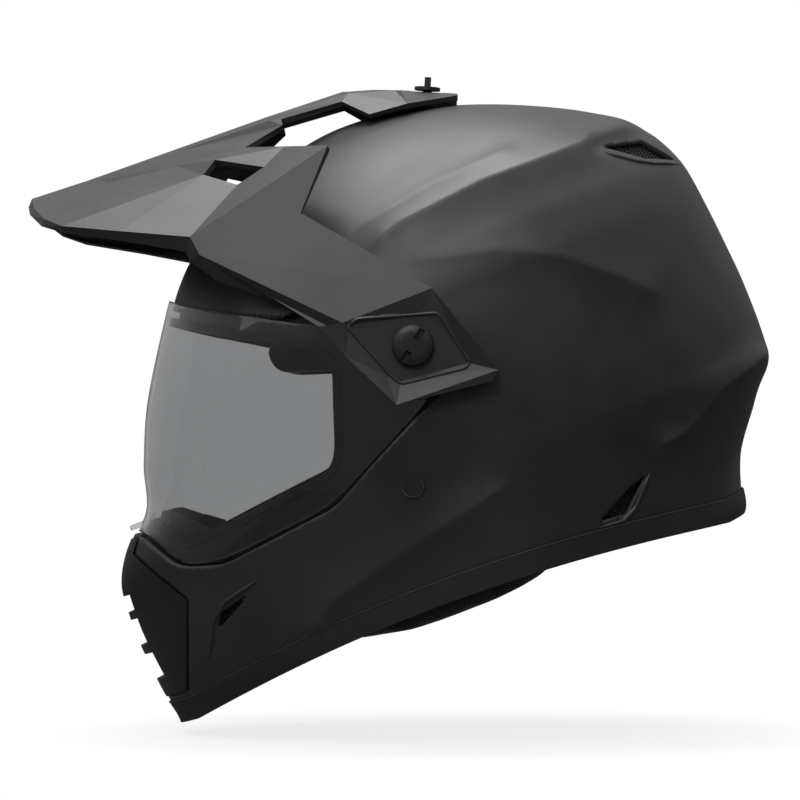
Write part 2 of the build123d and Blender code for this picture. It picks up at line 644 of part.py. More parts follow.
def pivot_plate_screws():
    """Four countersunk screws that fix the plates."""
    screws = []
    for side in (1, -1):
        for up in (1, -1):
            z = PIVOT_H + up * SMALL_SCREW_PITCH
            seat = PLATE_FRONT - SMALL_HEAD_DEPTH
            screw = rod(side, SMALL_SCREW_RADIUS, PLATE_BACK, seat, PIVOT_Y, z)
            screw += rod(side, SMALL_HEAD_RADIUS, seat, PLATE_FRONT, PIVOT_Y, z)
            screws.append(screw)
    return Compound(children=screws)


def shield():
    """Clear shield with its two side arms and a lifting tab."""
    region = across(SHIELD_SHARES)
    for side in (1, -1):
        region -= rod(side, HUB_RADIUS + TURN_FIT, 0, REACH, PIVOT_Y, PIVOT_H)
    y, z = place(*SHIELD_SHARES[1])
    tab = block((-TAB_WIDTH / 2, TAB_WIDTH / 2), (y - TAB_REACH, y + TAB_REACH), (z, z + TAB_HEIGHT))
    clear = skin(SHIELD_SINK, SHIELD_SINK + SHIELD_WALL, region, lens=True)
    return clear + (tab - form(SHIELD_SINK + SHIELD_WALL / 2, lens=True))


def side_screw(side):
    """Coin-slotted screw that holds one arm of the peak."""
    floor = PEAK_SHARES["rec_a"][0] * HALF_WIDTH + TRIM_FIT
    screw = rod(side, SIDE_SHANK_RADIUS, SIDE_SHANK_BACK, floor, PIVOT_Y, PIVOT_H)
    head = rod(side, SIDE_HEAD_RADIUS, floor, floor + SIDE_HEAD_HEIGHT, PIVOT_Y, PIVOT_H)
    rim = head.edges().filter_by(GeomType.CIRCLE).group_by(Axis.X)[-1 if side > 0 else 0]
    head = fillet(rim, SIDE_HEAD_HEIGHT / 4)
    top = floor + SIDE_HEAD_HEIGHT
    y = (PIVOT_Y - SIDE_HEAD_RADIUS, PIVOT_Y + SIDE_HEAD_RADIUS)
    z = (PIVOT_H - COIN_SLOT / 2, PIVOT_H + COIN_SLOT / 2)
    slot = block((side * (top - COIN_DEPTH), side * (top + COIN_DEPTH)), y, z)
    slot -= rod(side, SCREW_HUB_RADIUS, 0, top + COIN_DEPTH, PIVOT_Y, PIVOT_H)
    return screw + (head - slot)


def top_axis():
    """Frame of the top screw: its axis runs from the pivot out through the crown."""
    y = TOP_SCREW_BACK
    z = math.sqrt(tail_radius() ** 2 - y ** 2)
    direction = Vector(0, y, z).normalized()
    return Plane(origin=(0, PIVOT_Y + y, PIVOT_H + z), x_dir=(1, 0, 0), z_dir=direction)


def tail_radius():
    """Distance from the pivot to the peak's tail plate, at its top face."""
    front, rear = (Vector(0, *place(*PEAK_SHARES[n][1:])) for n in ("tail_c1", "tail_c2"))
    along = (rear - front).normalized()
    start = front - Vector(0, PIVOT_Y, PIVOT_H)
    return (start - along * start.dot(along)).length


def peak_top_insert():
    """Flanged insert in the crown: the tail of the peak rests on it."""
    flange_top = -PEAK_WALL - INSERT_GAP
    shell_face = -PEAK_WALL - TAIL_GAP
    stand = (Align.CENTER, Align.CENTER, Align.MIN)
    flange = Pos(0, 0, shell_face) * Cylinder(INSERT_FLANGE_RADIUS, flange_top - shell_face, align=stand)
    stem = Pos(0, 0, -INSERT_DEPTH) * Cylinder(INSERT_RADIUS, INSERT_DEPTH + flange_top, align=stand)
    bore = Cylinder(TOP_SHANK_RADIUS + SCREW_FIT, OVERRUN * 2)
    return top_axis() * (flange - bore) - form(-TRIM_FIT) + top_axis() * (stem - bore)


def peak_top_screw():
    """Thumb screw that clamps the tail through its slot."""
    stand = (Align.CENTER, Align.CENTER, Align.MIN)
    shank = Pos(0, 0, SEAT_GAP - TOP_SHANK_LENGTH) * Cylinder(TOP_SHANK_RADIUS, TOP_SHANK_LENGTH, align=stand)
    flange = Pos(0, 0, SEAT_GAP) * Cylinder(TOP_FLANGE_RADIUS, TOP_FLANGE_HEIGHT, align=stand)
    grip = Pos(0, 0, SEAT_GAP + TOP_FLANGE_HEIGHT) * Box(
        TOP_GRIP_LENGTH, TOP_GRIP_WIDTH, TOP_GRIP_HEIGHT, align=stand)
    return top_axis() * (shank + flange + grip)


def peak_corners():
    """Corners, mirrored corners and triangles of the peak's outer skin."""
    points, triangles = {}, []
    for name, (x, u, h) in PEAK_SHARES.items():
        y, z = place(u, h)
        points[(name, 1)] = Vector(x * HALF_WIDTH, y, z)
        points[(name, -1)] = points[(name, 1)] if x == 0 else Vector(-x * HALF_WIDTH, y, z)
    for side in (1, -1):
        for facet in PEAK_FACETS:
            keys = [(n, 1 if PEAK_SHARES[n][0] == 0 else side) for n in facet]
            for b, c in zip(keys[1:], keys[2:]):
                triangle = (keys[0], b, c)
                triangles.append(triangle if side > 0 else triangle[::-1])
    return points, triangles


def peak_backs(points, triangles):
    """Corners of the peak's inner skin: sunk by the wall, flat behind the arms."""
    normals = {}
    for triangle in triangles:
        a, b, c = (points[key] for key in triangle)
        normal = (b - a).cross(c - a).normalized()
        for key in triangle:
            normals[key] = normals.get(key, Vector(0, 0, 0)) + normal
    middle = Vector(0, PIVOT_Y, PIVOT_H)
    backs = {}
    for key, total in normals.items():
        inward = total.normalized()
        if inward.dot(points[key] - middle) > 0:
            inward = inward * -1
        backs[key] = points[key] + inward * PEAK_WALL
        if key[0] in ARM_CORNERS:
            point = points[key]
            backs[key] = Vector(key[1] * ARM_BACK, point.Y, point.Z)
    return backs


def triangle_face(a, b, c):
    """Flat face on three corners."""
    return Face(Wire.make_polygon([a, b, c], close=True))


def peak():
    """Faceted peak: outer skin, inner skin and the walls along its open edges."""
    points, triangles = peak_corners()
    backs = peak_backs(points, triangles)
    faces, borders = [], {}
    for triangle in triangles:
        faces.append(triangle_face(*(points[key] for key in triangle)))
        faces.append(triangle_face(*(backs[key] for key in triangle[::-1])))
        for a, b in zip(triangle, triangle[1:] + triangle[:1]):
            borders.setdefault(frozenset((a, b)), []).append((a, b))
    for walks in borders.values():
        if len(walks) == 1:
            a, b = walks[0]
            faces.append(triangle_face(points[b], points[a], backs[a]))
            faces.append(triangle_face(points[b], backs[a], backs[b]))
    solid = Solid(Shell(faces))
    hole = SIDE_SHANK_RADIUS + PEAK_HOLE_PLAY
    for side in (1, -1):
        solid -= rod(side, hole, 0, REACH, PIVOT_Y, PIVOT_H)
    width = (TOP_SHANK_RADIUS + PEAK_HOLE_PLAY) * 2
    outline = SlotCenterToCenter(TOP_SLOT_TRAVEL, width)
    slot = top_axis() * Rot(0, 0, 90) * extrude(outline, OVERRUN, both=True)
    return solid - slot


def rivet_hole(side):
    """Hole for the strap's rivet."""
    y, z = RIVET_U - HELMET_LENGTH / 2, RIVET_H
    return rod(side, RIVET_SHANK_RADIUS + RIVET_FIT, 0, REACH, y, z)


def strap_rivets():
    """Rivets of the chin strap with their round caps."""
    y, z = RIVET_U - HELMET_LENGTH / 2, RIVET_H
    rivets = []
    for side in (1, -1):
        body = skin(-TRIM_FIT, STRAP_SINK + STRAP_WALL, rod(side, RIVET_SHANK_RADIUS, 0, REACH, y, z))
        cap = skin(-TRIM_FIT - RIVET_CAP_HEIGHT, -TRIM_FIT, rod(side, RIVET_CAP_RADIUS, 0, REACH, y, z))
        rivets.append(body + cap)
    return Compound(children=rivets)


def strap_span(play=0):
    """Front and rear edge of the webbing, with play on each side."""
    y = RIVET_U - HELMET_LENGTH / 2
    return y - STRAP_WIDTH / 2 - play, y + STRAP_WIDTH / 2 + play


def strap_root(side):
    """Webbing from the rivet down behind the cheek pad and in through its slot."""
    y = strap_span()
    top = RIVET_H + STRAP_WIDTH / 2
    low = STRAP_CROSS_LOW
    run = skin(STRAP_SINK, STRAP_SINK + STRAP_WALL, block((0, side * REACH), y, (low, top)))
    cross = block((side * STRAP_INNER, side * REACH), y, (low, low + STRAP_WALL)) & form(STRAP_SINK)
    web = run + cross
    return web - rod(side, RIVET_SHANK_RADIUS + RIVET_FIT, 0, REACH, RIVET_U - HELMET_LENGTH / 2, RIVET_H)


def strap_short():
    """Left webbing: it hangs inside the pad and ends in a loop for the rings."""
    inner = STRAP_INNER
    y = strap_span()
    web = strap_root(1) + block((inner, inner + STRAP_WALL), y, (STRAP_SHORT_END, STRAP_CROSS_LOW))
    return web + ring_loop()


def ring_places():
    """(x, z) of the two ring bars in the loop."""
    x = STRAP_INNER + STRAP_WALL / 2
    step = RING_WIRE + RING_GAP / 2
    z = STRAP_SHORT_END - RING_WIRE - RING_PLAY - STRAP_WALL / 2
    return ((x - step, z), (x + step, z))


def ring_loop():
    """End of the webbing folded round both ring bars."""
    y = strap_span(-RING_WIRE)
    (x_in, z), (x_out, _) = ring_places()
    room = RING_WIRE + RING_PLAY
    wall = room + STRAP_WALL
    loop = block((x_in, x_out), y, (z - wall, z + wall))
    hollow = block((x_in, x_out), y, (z - room, z + room))
    for x in (x_in, x_out):
        loop += bar(wall, x, z, y)
        hollow += bar(room, x, z, y)
    return loop - hollow


def bar(radius, x, z, y):
    """Cylinder along Y between two places."""
    plane = Plane(origin=(x, y[0], z), x_dir=(1, 0, 0), z_dir=(0, 1, 0))
    return plane * Cylinder(radius, y[1] - y[0], align=(Align.CENTER, Align.CENTER, Align.MIN))


def d_ring(index):
    """Steel ring with a straight bar in the loop and a round end hanging down."""
    x, z = ring_places()[index]
    y = RIVET_U - HELMET_LENGTH / 2
    shoulder = z - RING_DROP / 3
    ends = (y - RING_BAR / 2, y + RING_BAR / 2)
    ring = bar(RING_WIRE, x, z, ends)
    for end in ends:
        ring += Pos(x, end, z) * Sphere(RING_WIRE)
        ring += Pos(x, end, (z + shoulder) / 2) * Cylinder(RING_WIRE, z - shoulder)
    low = Vector(x, y, z - RING_DROP)
    arc = Edge.make_three_point_arc(Vector(x, ends[0], shoulder), low, Vector(x, ends[1], shoulder))
    start = Plane(origin=arc @ 0, x_dir=(1, 0, 0), z_dir=arc % 0)
    return ring + sweep(start * Circle(RING_WIRE), path=arc)


def strap_long():
    """Right webbing: it hangs, folds at the bottom and lies back up on itself."""
    y = strap_span()
    inner = -STRAP_INNER
    drop = (STRAP_LONG_FOLD, STRAP_CROSS_LOW + STRAP_WALL)
    web = strap_root(-1) + block((inner - STRAP_WALL, inner), y, drop)
    fold = STRAP_WALL * 2
    web += block((inner - STRAP_WALL, inner + fold), y, (STRAP_LONG_FOLD, STRAP_LONG_FOLD + STRAP_WALL))
    end = inner + fold + SLEEVE_WALL + SLEEVE_PLAY
    web += block((inner, end), y, (STRAP_LONG_FOLD, STRAP_LONG_FOLD + STRAP_WALL))
    return web + block((end - STRAP_WALL, end), y, (STRAP_LONG_FOLD, STRAP_LONG_END))


def strap_stud():
    """Snap stud near the free end of the long strap."""
    end = STRAP_INNER - STRAP_WALL * 2 - SLEEVE_WALL - SLEEVE_PLAY
    y, z = RIVET_U - HELMET_LENGTH / 2, STRAP_LONG_END - STUD_RADIUS * 2
    base = end - STUD_HEIGHT
    return rod(-1, STUD_RADIUS, base, end, y, z)


def strap_sleeve(side):
    """Padded sleeve round the webbing."""
    y = strap_span(SLEEVE_WALL)
    x = (STRAP_INNER - SLEEVE_WALL, STRAP_INNER + STRAP_WALL + SLEEVE_WALL)
    body = block((side * x[0], side * x[1]), y, (SLEEVE_LOW, SLEEVE_HIGH))
    room = (STRAP_INNER - SLEEVE_PLAY, STRAP_INNER + STRAP_WALL + SLEEVE_PLAY)
    return body - block((side * room[0], side * room[1]), strap_span(SLEEVE_PLAY), (0, SHELL_HEIGHT))


def cheek_pad_snaps():
    """Snap studs between the shell and the cheek pads."""
    snaps = []
    for side in (1, -1):
        for u, h in SNAP_SHARES:
            stud = rod(side, SNAP_RADIUS, 0, REACH, *place(u, h))
            snaps.append(skin(SHELL_WALL + SNAP_END_GAP, CHEEK_SINK - SNAP_END_GAP, stud))
    return Compound(children=snaps)


def build_nodes():
    """Every named piece of the helmet."""
    nodes = {
        "outer_shell": outer_shell(), "base_trim": base_trim(),
        "eyeport_frame": eyeport_frame(), "eyeport_gasket": eyeport_gasket(),
        "foam_liner": foam_liner(), "chin_bar_foam": chin_bar_foam(),
        "slip_liner": slip_liner(), "comfort_liner": comfort_liner(),
        "neck_roll": neck_roll(), "breath_guard": breath_guard(),
        "mouth_vent_housing": mouth_vent_housing(), "mouth_vent_mesh": mouth_vent_mesh(),
        "mouth_vent_shutter": mouth_vent_shutter(), "shield": shield(), "peak": peak(),
        "peak_top_insert": peak_top_insert(), "peak_top_screw": peak_top_screw(),
        "pivot_plate_screws": pivot_plate_screws(), "strap_rivets": strap_rivets(),
        "strap_short": strap_short(), "strap_long": strap_long(), "strap_stud": strap_stud(),
        "d_ring_inner": d_ring(0), "d_ring_outer": d_ring(1),
        "cheek_pad_snaps": cheek_pad_snaps(),
    }
    for side, word in ((1, "left"), (-1, "right")):
        nodes["cheek_pad_" + word] = cheek_pad(side)
        nodes["chin_vent_mesh_" + word] = vent_mesh(CHIN_VENT_SHARES, side)
        nodes["rear_top_mesh_" + word] = vent_mesh(TOP_VENT_SHARES, side)
        nodes["rear_low_mesh_" + word] = vent_mesh(LOW_VENT_SHARES, side)
        nodes["pivot_plate_" + word] = pivot_plate(side)
        nodes["peak_screw_" + word] = side_screw(side)
        nodes["strap_sleeve_" + word] = strap_sleeve(side)
    return nodes


os.makedirs("parts", exist_ok=True)
for name, solid in build_nodes().items():
    export_step(solid, "parts/" + name + ".step")
    print(name, len(solid.solids()), round(solid.volume))
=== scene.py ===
"""Looks of the dual sport helmet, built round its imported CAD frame.

Row frame, metres: +Z up from the rim, -Y where the face looks, +X the wearer's left.
"""
import json
import math

import bmesh
import bpy
import numpy as np
from mathutils import Matrix, Vector
from mathutils.bvhtree import BVHTree


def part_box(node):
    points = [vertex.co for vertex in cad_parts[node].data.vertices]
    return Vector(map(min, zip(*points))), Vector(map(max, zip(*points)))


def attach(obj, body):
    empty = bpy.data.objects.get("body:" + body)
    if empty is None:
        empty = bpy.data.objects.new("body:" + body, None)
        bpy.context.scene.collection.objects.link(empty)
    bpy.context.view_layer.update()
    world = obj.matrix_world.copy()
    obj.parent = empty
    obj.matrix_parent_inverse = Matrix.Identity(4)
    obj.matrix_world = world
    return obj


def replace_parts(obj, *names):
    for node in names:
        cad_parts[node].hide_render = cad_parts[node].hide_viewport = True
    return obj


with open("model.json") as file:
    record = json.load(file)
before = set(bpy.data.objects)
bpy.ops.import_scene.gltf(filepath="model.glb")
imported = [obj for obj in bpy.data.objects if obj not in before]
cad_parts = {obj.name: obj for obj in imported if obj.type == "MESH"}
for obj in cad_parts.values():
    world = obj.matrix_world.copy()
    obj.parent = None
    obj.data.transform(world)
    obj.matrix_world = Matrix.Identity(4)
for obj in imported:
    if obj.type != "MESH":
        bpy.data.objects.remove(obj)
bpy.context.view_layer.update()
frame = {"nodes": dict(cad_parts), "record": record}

# sizes, in metres
LENGTH = 0.367
HEIGHT = 0.2648
HALF = 0.121
PIVOT_Y = 0.0065
PIVOT_Z = 0.1421
RIM_FRONT = 0.018
RIM_REAR = 0.055
RIM_RISE = 0.015
SHELL_WALL = 0.004
SHELL_COLUMNS = 560
RECESS_ROUND = 0.006
LENS_COLUMNS = 520
LENS_LEVELS = (0.262, 0.835, 170)
LENS_ROUND = 0.012
LENS_SINK = 0.0011
LENS_WALL = 0.0019
LENS_EDGE = 0.0006
LENS_HUB = 0.0082
CREASE_CLEAR = 0.009
CREASE_END_SHARE = 0.12
PROBE = 0.0008
SIDES = ((1, "left"), (-1, "right"))
CORNERS = ((-1, -1), (1, -1), (1, 1), (-1, 1))
# levels of the shell: height share, front, rear, half width, widest place, powers ahead and behind
FORM = np.array([
    (0.0, 0.0202, 0.8817, 0.820, 0.540, 1.75, 2.10),
    (0.106, 0.0080, 0.9062, 0.897, 0.540, 1.75, 2.15),
    (0.204, 0.0029, 0.9553, 0.946, 0.530, 1.76, 2.20),
    (0.294, 0.0072, 0.9970, 0.975, 0.525, 1.80, 2.25),
    (0.362, 0.0360, 0.9985, 0.989, 0.525, 1.92, 2.25),
    (0.430, 0.0800, 0.9975, 0.996, 0.523, 2.06, 2.25),
    (0.510, 0.1050, 0.9930, 1.000, 0.522, 2.18, 2.25),
    (0.604, 0.1356, 0.9860, 0.988, 0.525, 2.25, 2.25),
    (0.680, 0.1688, 0.9780, 0.942, 0.530, 2.25, 2.25),
    (0.754, 0.2035, 0.9560, 0.860, 0.540, 2.25, 2.20),
    (0.798, 0.2251, 0.9300, 0.793, 0.550, 2.20, 2.15),
    (0.852, 0.2605, 0.8788, 0.678, 0.558, 2.10, 2.05),
    (0.906, 0.3160, 0.8038, 0.537, 0.560, 2.05, 2.00),
    (0.957, 0.3940, 0.7100, 0.355, 0.553, 2.00, 2.00),
    (0.988, 0.4674, 0.6278, 0.184, 0.545, 2.00, 2.00),
])
APEX = 0.540
RING = 20
RECESS = [(-0.15, 0.385), (0.060, 0.385), (0.102, 0.296), (0.163, 0.270), (0.341, 0.301),
          (0.408, 0.352), (0.538, 0.443), (0.582, 0.515), (0.560, 0.610), (0.480, 0.692),
          (0.360, 0.672), (0.222, 0.775), (-0.15, 0.785)]
MOUTH = [(-0.15, 0.410), (0.058, 0.376), (0.043, 0.350), (0.098, 0.231), (0.048, 0.060), (-0.15, 0.050)]
SHIELD = [(-0.15, 0.392), (0.072, 0.392), (0.108, 0.296), (0.167, 0.280), (0.334, 0.307),
          (0.408, 0.357), (0.515, 0.432), (0.556, 0.478), (0.5685, 0.545), (0.540, 0.600), (0.401, 0.636),
          (0.235, 0.766), (0.213, 0.802), (-0.15, 0.900)]
WINDOW = [(0.085, 0.400), (0.115, 0.325), (0.345, 0.357), (0.368, 0.385), (0.412, 0.562), (0.390, 0.603),
          (0.203, 0.758)]
# how far the shield stands outside the shell: height, front, sides
PROUD = np.array([(0.0, 0.0, 0.0), (0.392, 0.0, 0.0), (0.510, 0.0103, 0.004), (0.604, 0.0116, 0.0125),
                  (0.680, 0.0130, 0.025), (0.754, 0.0130, 0.037), (1.0, 0.0130, 0.041)])
CHIN_VENT = [(0.196, 0.208), (0.136, 0.184), (0.106, 0.116), (0.126, 0.156)]
TOP_VENT = [(0.862, 0.772), (0.925, 0.758), (0.962, 0.700), (0.915, 0.722)]
LOW_VENT = [(0.672, 0.100), (0.712, 0.094), (0.758, 0.152), (0.728, 0.140)]
# creases of the shell: points, height, width towards each side
CREASES = [
    ([(0.484, 0.727), (0.559, 0.758), (0.683, 0.780), (0.865, 0.786), (0.946, 0.788)], 0.0038, 0.020),
    ([(0.541, 0.694), (0.675, 0.649), (0.749, 0.598), (0.817, 0.522), (0.872, 0.448)], 0.0020, 0.022),
    ([(0.998, 0.292), (0.902, 0.259), (0.827, 0.206), (0.767, 0.191)], 0.0038, 0.016),
    ([(0.588, 0.236), (0.518, 0.212), (0.403, 0.179), (0.293, 0.138), (0.226, 0.069)], 0.0028, 0.020),
    ([(0.457, 0.768), (0.618, 0.811), (0.758, 0.825)], 0.0012, 0.012),
]


def place(points):
    """Side-view shares to (y, z) in metres."""
    p = np.asarray(points, float)
    return np.stack([(p[..., 0] - 0.5) * LENGTH, p[..., 1] * HEIGHT], -1)


def slopes(x, y):
    """Slopes of a curve through points that never overshoots them."""
    h = np.diff(x)[:, None]
    d = np.diff(y, axis=0) / h
    m = np.zeros_like(y)
    m[0], m[-1] = d[0], d[-1]
    a, b = h[:-1], h[1:]
    safe = d[:-1] * d[1:] > 0
    first = np.where(safe, d[:-1], 1)
    second = np.where(safe, d[1:], 1)
    m[1:-1] = np.where(safe, 3 * (a + b) / ((2 * b + a) / first + (b + 2 * a) / second), 0)
    return m


FORM_SLOPES = slopes(FORM[:, 0], FORM[:, 1:])
PROUD_SLOPES = slopes(PROUD[:, 0], PROUD[:, 1:])


def between(x, y, m, h):
    """Value of a smooth curve with known slopes."""
    i = min(int(np.searchsorted(x, h, side="right")) - 1, len(x) - 2)
    s = x[i + 1] - x[i]
    t = (h - x[i]) / s
    return ((2 * t ** 3 - 3 * t ** 2 + 1) * y[i] + (t ** 3 - 2 * t ** 2 + t) * s * m[i]
            + (3 * t ** 2 - 2 * t ** 3) * y[i + 1] + (t ** 3 - t ** 2) * s * m[i + 1])


def row_at(h):
    """Front, rear, half width, widest place and the two powers at height share h."""
    x, y = FORM[:, 0], FORM[:, 1:]
    top = x[-1]
    if h > top:
        shrink = math.sqrt(max(1 - h, 0) / (1 - top))
        f, r, half, widest, a, b = y[-1]
        return (APEX - (APEX - f) * shrink, APEX + (r - APEX) * shrink, half * shrink,
                APEX + (widest - APEX) * shrink, a, b)
    return between(x, y, FORM_SLOPES, h)


def ring_curve(points, count):
    """Closed smooth curve through a ring of points, sampled evenly."""
    n = len(points)
    a = np.zeros((n, n))
    for i in range(n):
        a[i, i], a[i, (i + 1) % n], a[i, i - 1] = 4, 1, 1
    bend = 6 * (np.roll(points, -1, 0) - 2 * points + np.roll(points, 1, 0))
    second = np.linalg.solve(a, bend)
    s = np.arange(count) * n / count
    i = s.astype(int)
    t = (s - i)[:, None]
    j = (i + 1) % n
    p, q, u, v = points[i], points[j], second[i], second[j]
    return p * (1 - t) + q * t + ((1 - t) ** 3 - (1 - t)) * u / 6 + (t ** 3 - t) * v / 6


def ring_points(h, lens=False):
    """Points of one level of the shell, or of the shield's own form, as (x, y, z)."""
    front, rear, half, widest, pf, pr = row_at(h)
    if lens:
        forward, aside = between(PROUD[:, 0], PROUD[:, 1:], PROUD_SLOPES, h)
        front, half = front - forward, half + aside
    turn = 2 * np.pi * np.arange(RING) / RING
    s, c = np.sin(turn), np.cos(turn)
    ahead = s < -1e-12
    power = np.where(ahead, pf, pr)
    reach = np.where(ahead, widest - front, rear - widest)
    u = widest + reach * np.sign(s) * np.abs(s) ** (2 / power)
    x = half * HALF * np.sign(c) * np.abs(c) ** (2 / power)
    return np.stack([x, (u - 0.5) * LENGTH, np.full(RING, h * HEIGHT)], 1)


def to_piece(yz, p, q):
    """Way from a straight piece's nearest place, its length, and the share along the piece."""
    d = q - p
    t = np.clip(((yz - p) @ d) / (d @ d), 0, 1)
    gap = yz - (p + t[:, None] * d)
    return gap, np.linalg.norm(gap, axis=1), t


def edge_distance(yz, outline):
    """Signed distance to a closed outline (negative inside) and the way out of it."""
    a = place(outline)
    b = np.roll(a, -1, 0)
    best = np.full(len(yz), 1e9)
    away = np.zeros_like(yz)
    inside = np.zeros(len(yz), bool)
    for p, q in zip(a, b):
        gap, size, _ = to_piece(yz, p, q)
        near = size < best
        best = np.where(near, size, best)
        away[near] = gap[near]
        cross = (p[1] > yz[:, 1]) != (q[1] > yz[:, 1])
        with np.errstate(divide="ignore", invalid="ignore"):
            at = p[0] + (yz[:, 1] - p[1]) / (q[1] - p[1]) * (q[0] - p[0])
        inside ^= cross & (yz[:, 0] < at)
    sign = np.where(inside, -1.0, 1.0)
    away = away / np.maximum(np.linalg.norm(away, axis=1), 1e-9)[:, None] * sign[:, None]
    return best * sign, away


def line_distance(yz, line):
    """Distance to an open line and how far along it the nearest point is, 0 to 1."""
    a = place(line)
    best = np.full(len(yz), 1e9)
    along = np.zeros(len(yz))
    sizes = np.linalg.norm(np.diff(a, axis=0), axis=1)
    total, done = sizes.sum(), 0.0
    for p, q, size in zip(a, a[1:], sizes):
        _, gap, t = to_piece(yz, p, q)
        near = gap < best
        best = np.where(near, gap, best)
        along = np.where(near, (done + t * size) / total, along)
        done += size
    return best, along


def smooth(x):
    """Soft step from 0 to 1."""
    x = np.clip(x, 0, 1)
    return x * x * (3 - 2 * x)


def linked(name, data):
    """New object in the scene."""
    obj = bpy.data.objects.new(name, data)
    bpy.context.scene.collection.objects.link(obj)
    return obj


def new_object(name, verts, faces, slot_name, smooth_angle):
    """Object from points and faces, in one material."""
    mesh = bpy.data.meshes.new(name)
    mesh.from_pydata([tuple(v) for v in verts], [], [tuple(f) for f in faces])
    mesh.update()
    mesh.materials.append(MATERIALS[slot_name])
    obj = linked(name, mesh)
    soften_shading(obj, smooth_angle)
    return obj


def soften_shading(obj, angle):
    """Smooth shading, sharp only where faces meet at more than an angle."""
    obj.data.polygons.foreach_set("use_smooth", np.ones(len(obj.data.polygons), bool))
    obj.data.set_sharp_from_angle(angle=math.radians(angle))
    obj.data.update()


def modified(obj, kind, **settings):
    """Adds a modifier with its settings."""
    added = obj.modifiers.new(kind.lower(), kind)
    for name, value in settings.items():
        setattr(added, name, value)
    return added


def bevelled(obj, width, angle):
    """Eases the edges that are sharper than an angle."""
    limit = math.radians(angle)
    return modified(obj, "BEVEL", width=width, segments=2, limit_method="ANGLE", angle_limit=limit)


def oval(centre, u, v, a, b, count):
    """Points round a centre, a along u and b along v."""
    turns = [2 * math.pi * k / count for k in range(count)]
    return [centre + u * (a * math.cos(t)) + v * (b * math.sin(t)) for t in turns]


# materials
def set_inputs(node, **values):
    """Sets inputs by their names, with an underscore for each space."""
    for name, value in values.items():
        node.inputs[name.replace("_", " ")].default_value = value
    return node


def shader(name, color, roughness, specular=0.5, metallic=0.0, sheen=0.0):
    """Plain shader with its tree, ready for detail nodes."""
    material = bpy.data.materials.new(name)
    material.use_nodes = True
    tree = material.node_tree
    bsdf = tree.nodes["Principled BSDF"]
    set_inputs(bsdf, Base_Color=(*color, 1), Metallic=metallic)
    set_inputs(bsdf, Roughness=roughness, Specular_IOR_Level=specular)
    if sheen:
        set_inputs(bsdf, Sheen_Weight=sheen, Sheen_Roughness=0.4)
    return material, tree, bsdf


def add_node(tree, kind, **values):
    """New shader node with some of its inputs set."""
    return set_inputs(tree.nodes.new("ShaderNode" + kind), **values)


def placed(tree, node):
    """Puts a texture in the object's own coordinates."""
    where = tree.nodes.get("Where") or add_node(tree, "TexCoord")
    where.name = "Where"
    tree.links.new(where.outputs["Object"], node.inputs["Vector"])
    return node


def noise(tree, scale, detail=3.0, rough=0.5):
    """Noise in the object's own coordinates."""
    return placed(tree, add_node(tree, "TexNoise", Scale=scale, Detail=detail, Roughness=rough))


def spread(tree, source, low, high, start=0.3, end=0.7):
    """A value carried from one range onto another."""
    node = add_node(tree, "MapRange", From_Min=start, From_Max=end, To_Min=low, To_Max=high)
    tree.links.new(source, node.inputs["Value"])
    return node.outputs["Result"]


def tint(tree, bsdf, source, color, start, end):
    """Base colour between two strengths of a colour by a value."""
    mix = add_node(tree, "Mix")
    mix.data_type = "RGBA"
    mix.inputs[6].default_value = (*(c * start for c in color), 1)
    mix.inputs[7].default_value = (*(c * end for c in color), 1)
    tree.links.new(source, mix.inputs["Factor"])
    tree.links.new(mix.outputs[2], bsdf.inputs["Base Color"])


def bump(tree, bsdf, source, strength, distance):
    """Adds one relief under those already there."""
    node = add_node(tree, "Bump", Strength=strength, Distance=distance)
    tree.links.new(source, node.inputs["Height"])
    before = bsdf.inputs["Normal"].links
    if before:
        tree.links.new(before[0].from_socket, node.inputs["Normal"])
    tree.links.new(node.outputs["Normal"], bsdf.inputs["Normal"])


def moulded(name, color, roughness, specular=0.4, grain=900.0, relief=0.25, vary=0.25):
    """Moulded or coated black plastic: fine grain, slight handling marks."""
    material, tree, bsdf = shader(name, color, roughness, specular)
    fine = noise(tree, grain, detail=2.0)
    wide = noise(tree, 14.0, detail=5.0, rough=0.6)
    tint(tree, bsdf, spread(tree, wide.outputs["Fac"], 0.0, 1.0), color, 1 - vary, 1 + vary * 2)
    tree.links.new(spread(tree, wide.outputs["Fac"], roughness - 0.05, roughness + 0.06),
                   bsdf.inputs["Roughness"])
    bump(tree, bsdf, fine.outputs["Fac"], relief, 0.00012)
    return material


def woven(name, color, pitch=0.0011, sheen=0.35, relief=0.6):
    """Knit or webbing: two crossed rows of threads with fuzz."""
    material, tree, bsdf = shader(name, color, roughness=0.85, specular=0.25, sheen=sheen)
    rows = []
    for direction in ("DIAGONAL", "Z"):
        wave = placed(tree, add_node(tree, "TexWave", Scale=0.314 / pitch, Distortion=0.6, Detail=1.0))
        wave.wave_type = "BANDS"
        wave.bands_direction = direction
        rows.append(wave.outputs["Fac"])
    both = add_node(tree, "Math")
    both.operation = "MULTIPLY"
    tree.links.new(rows[0], both.inputs[0])
    tree.links.new(rows[1], both.inputs[1])
    fuzz = noise(tree, 260.0, detail=4.0)
    # threads painted lighter where they stand up and darker in the gaps between them: painted shade in the
    # weave's hollows
    tint(tree, bsdf, both.outputs[0], color, 0.6, 1.7)
    bump(tree, bsdf, both.outputs[0], relief, 0.0004)
    bump(tree, bsdf, fuzz.outputs["Fac"], 0.3, 0.0003)
    return material


def beaded(name, color):
    """Moulded bead foam."""
    material, tree, bsdf = shader(name, color, roughness=0.7, specular=0.3)
    cells = placed(tree, add_node(tree, "TexVoronoi", Scale=330.0))
    # bead middles painted lighter and the joins between beads darker: painted shade between the beads
    tint(tree, bsdf, cells.outputs["Distance"], color, 1.5, 0.5)
    bump(tree, bsdf, cells.outputs["Distance"], -0.5, 0.0006)
    return material


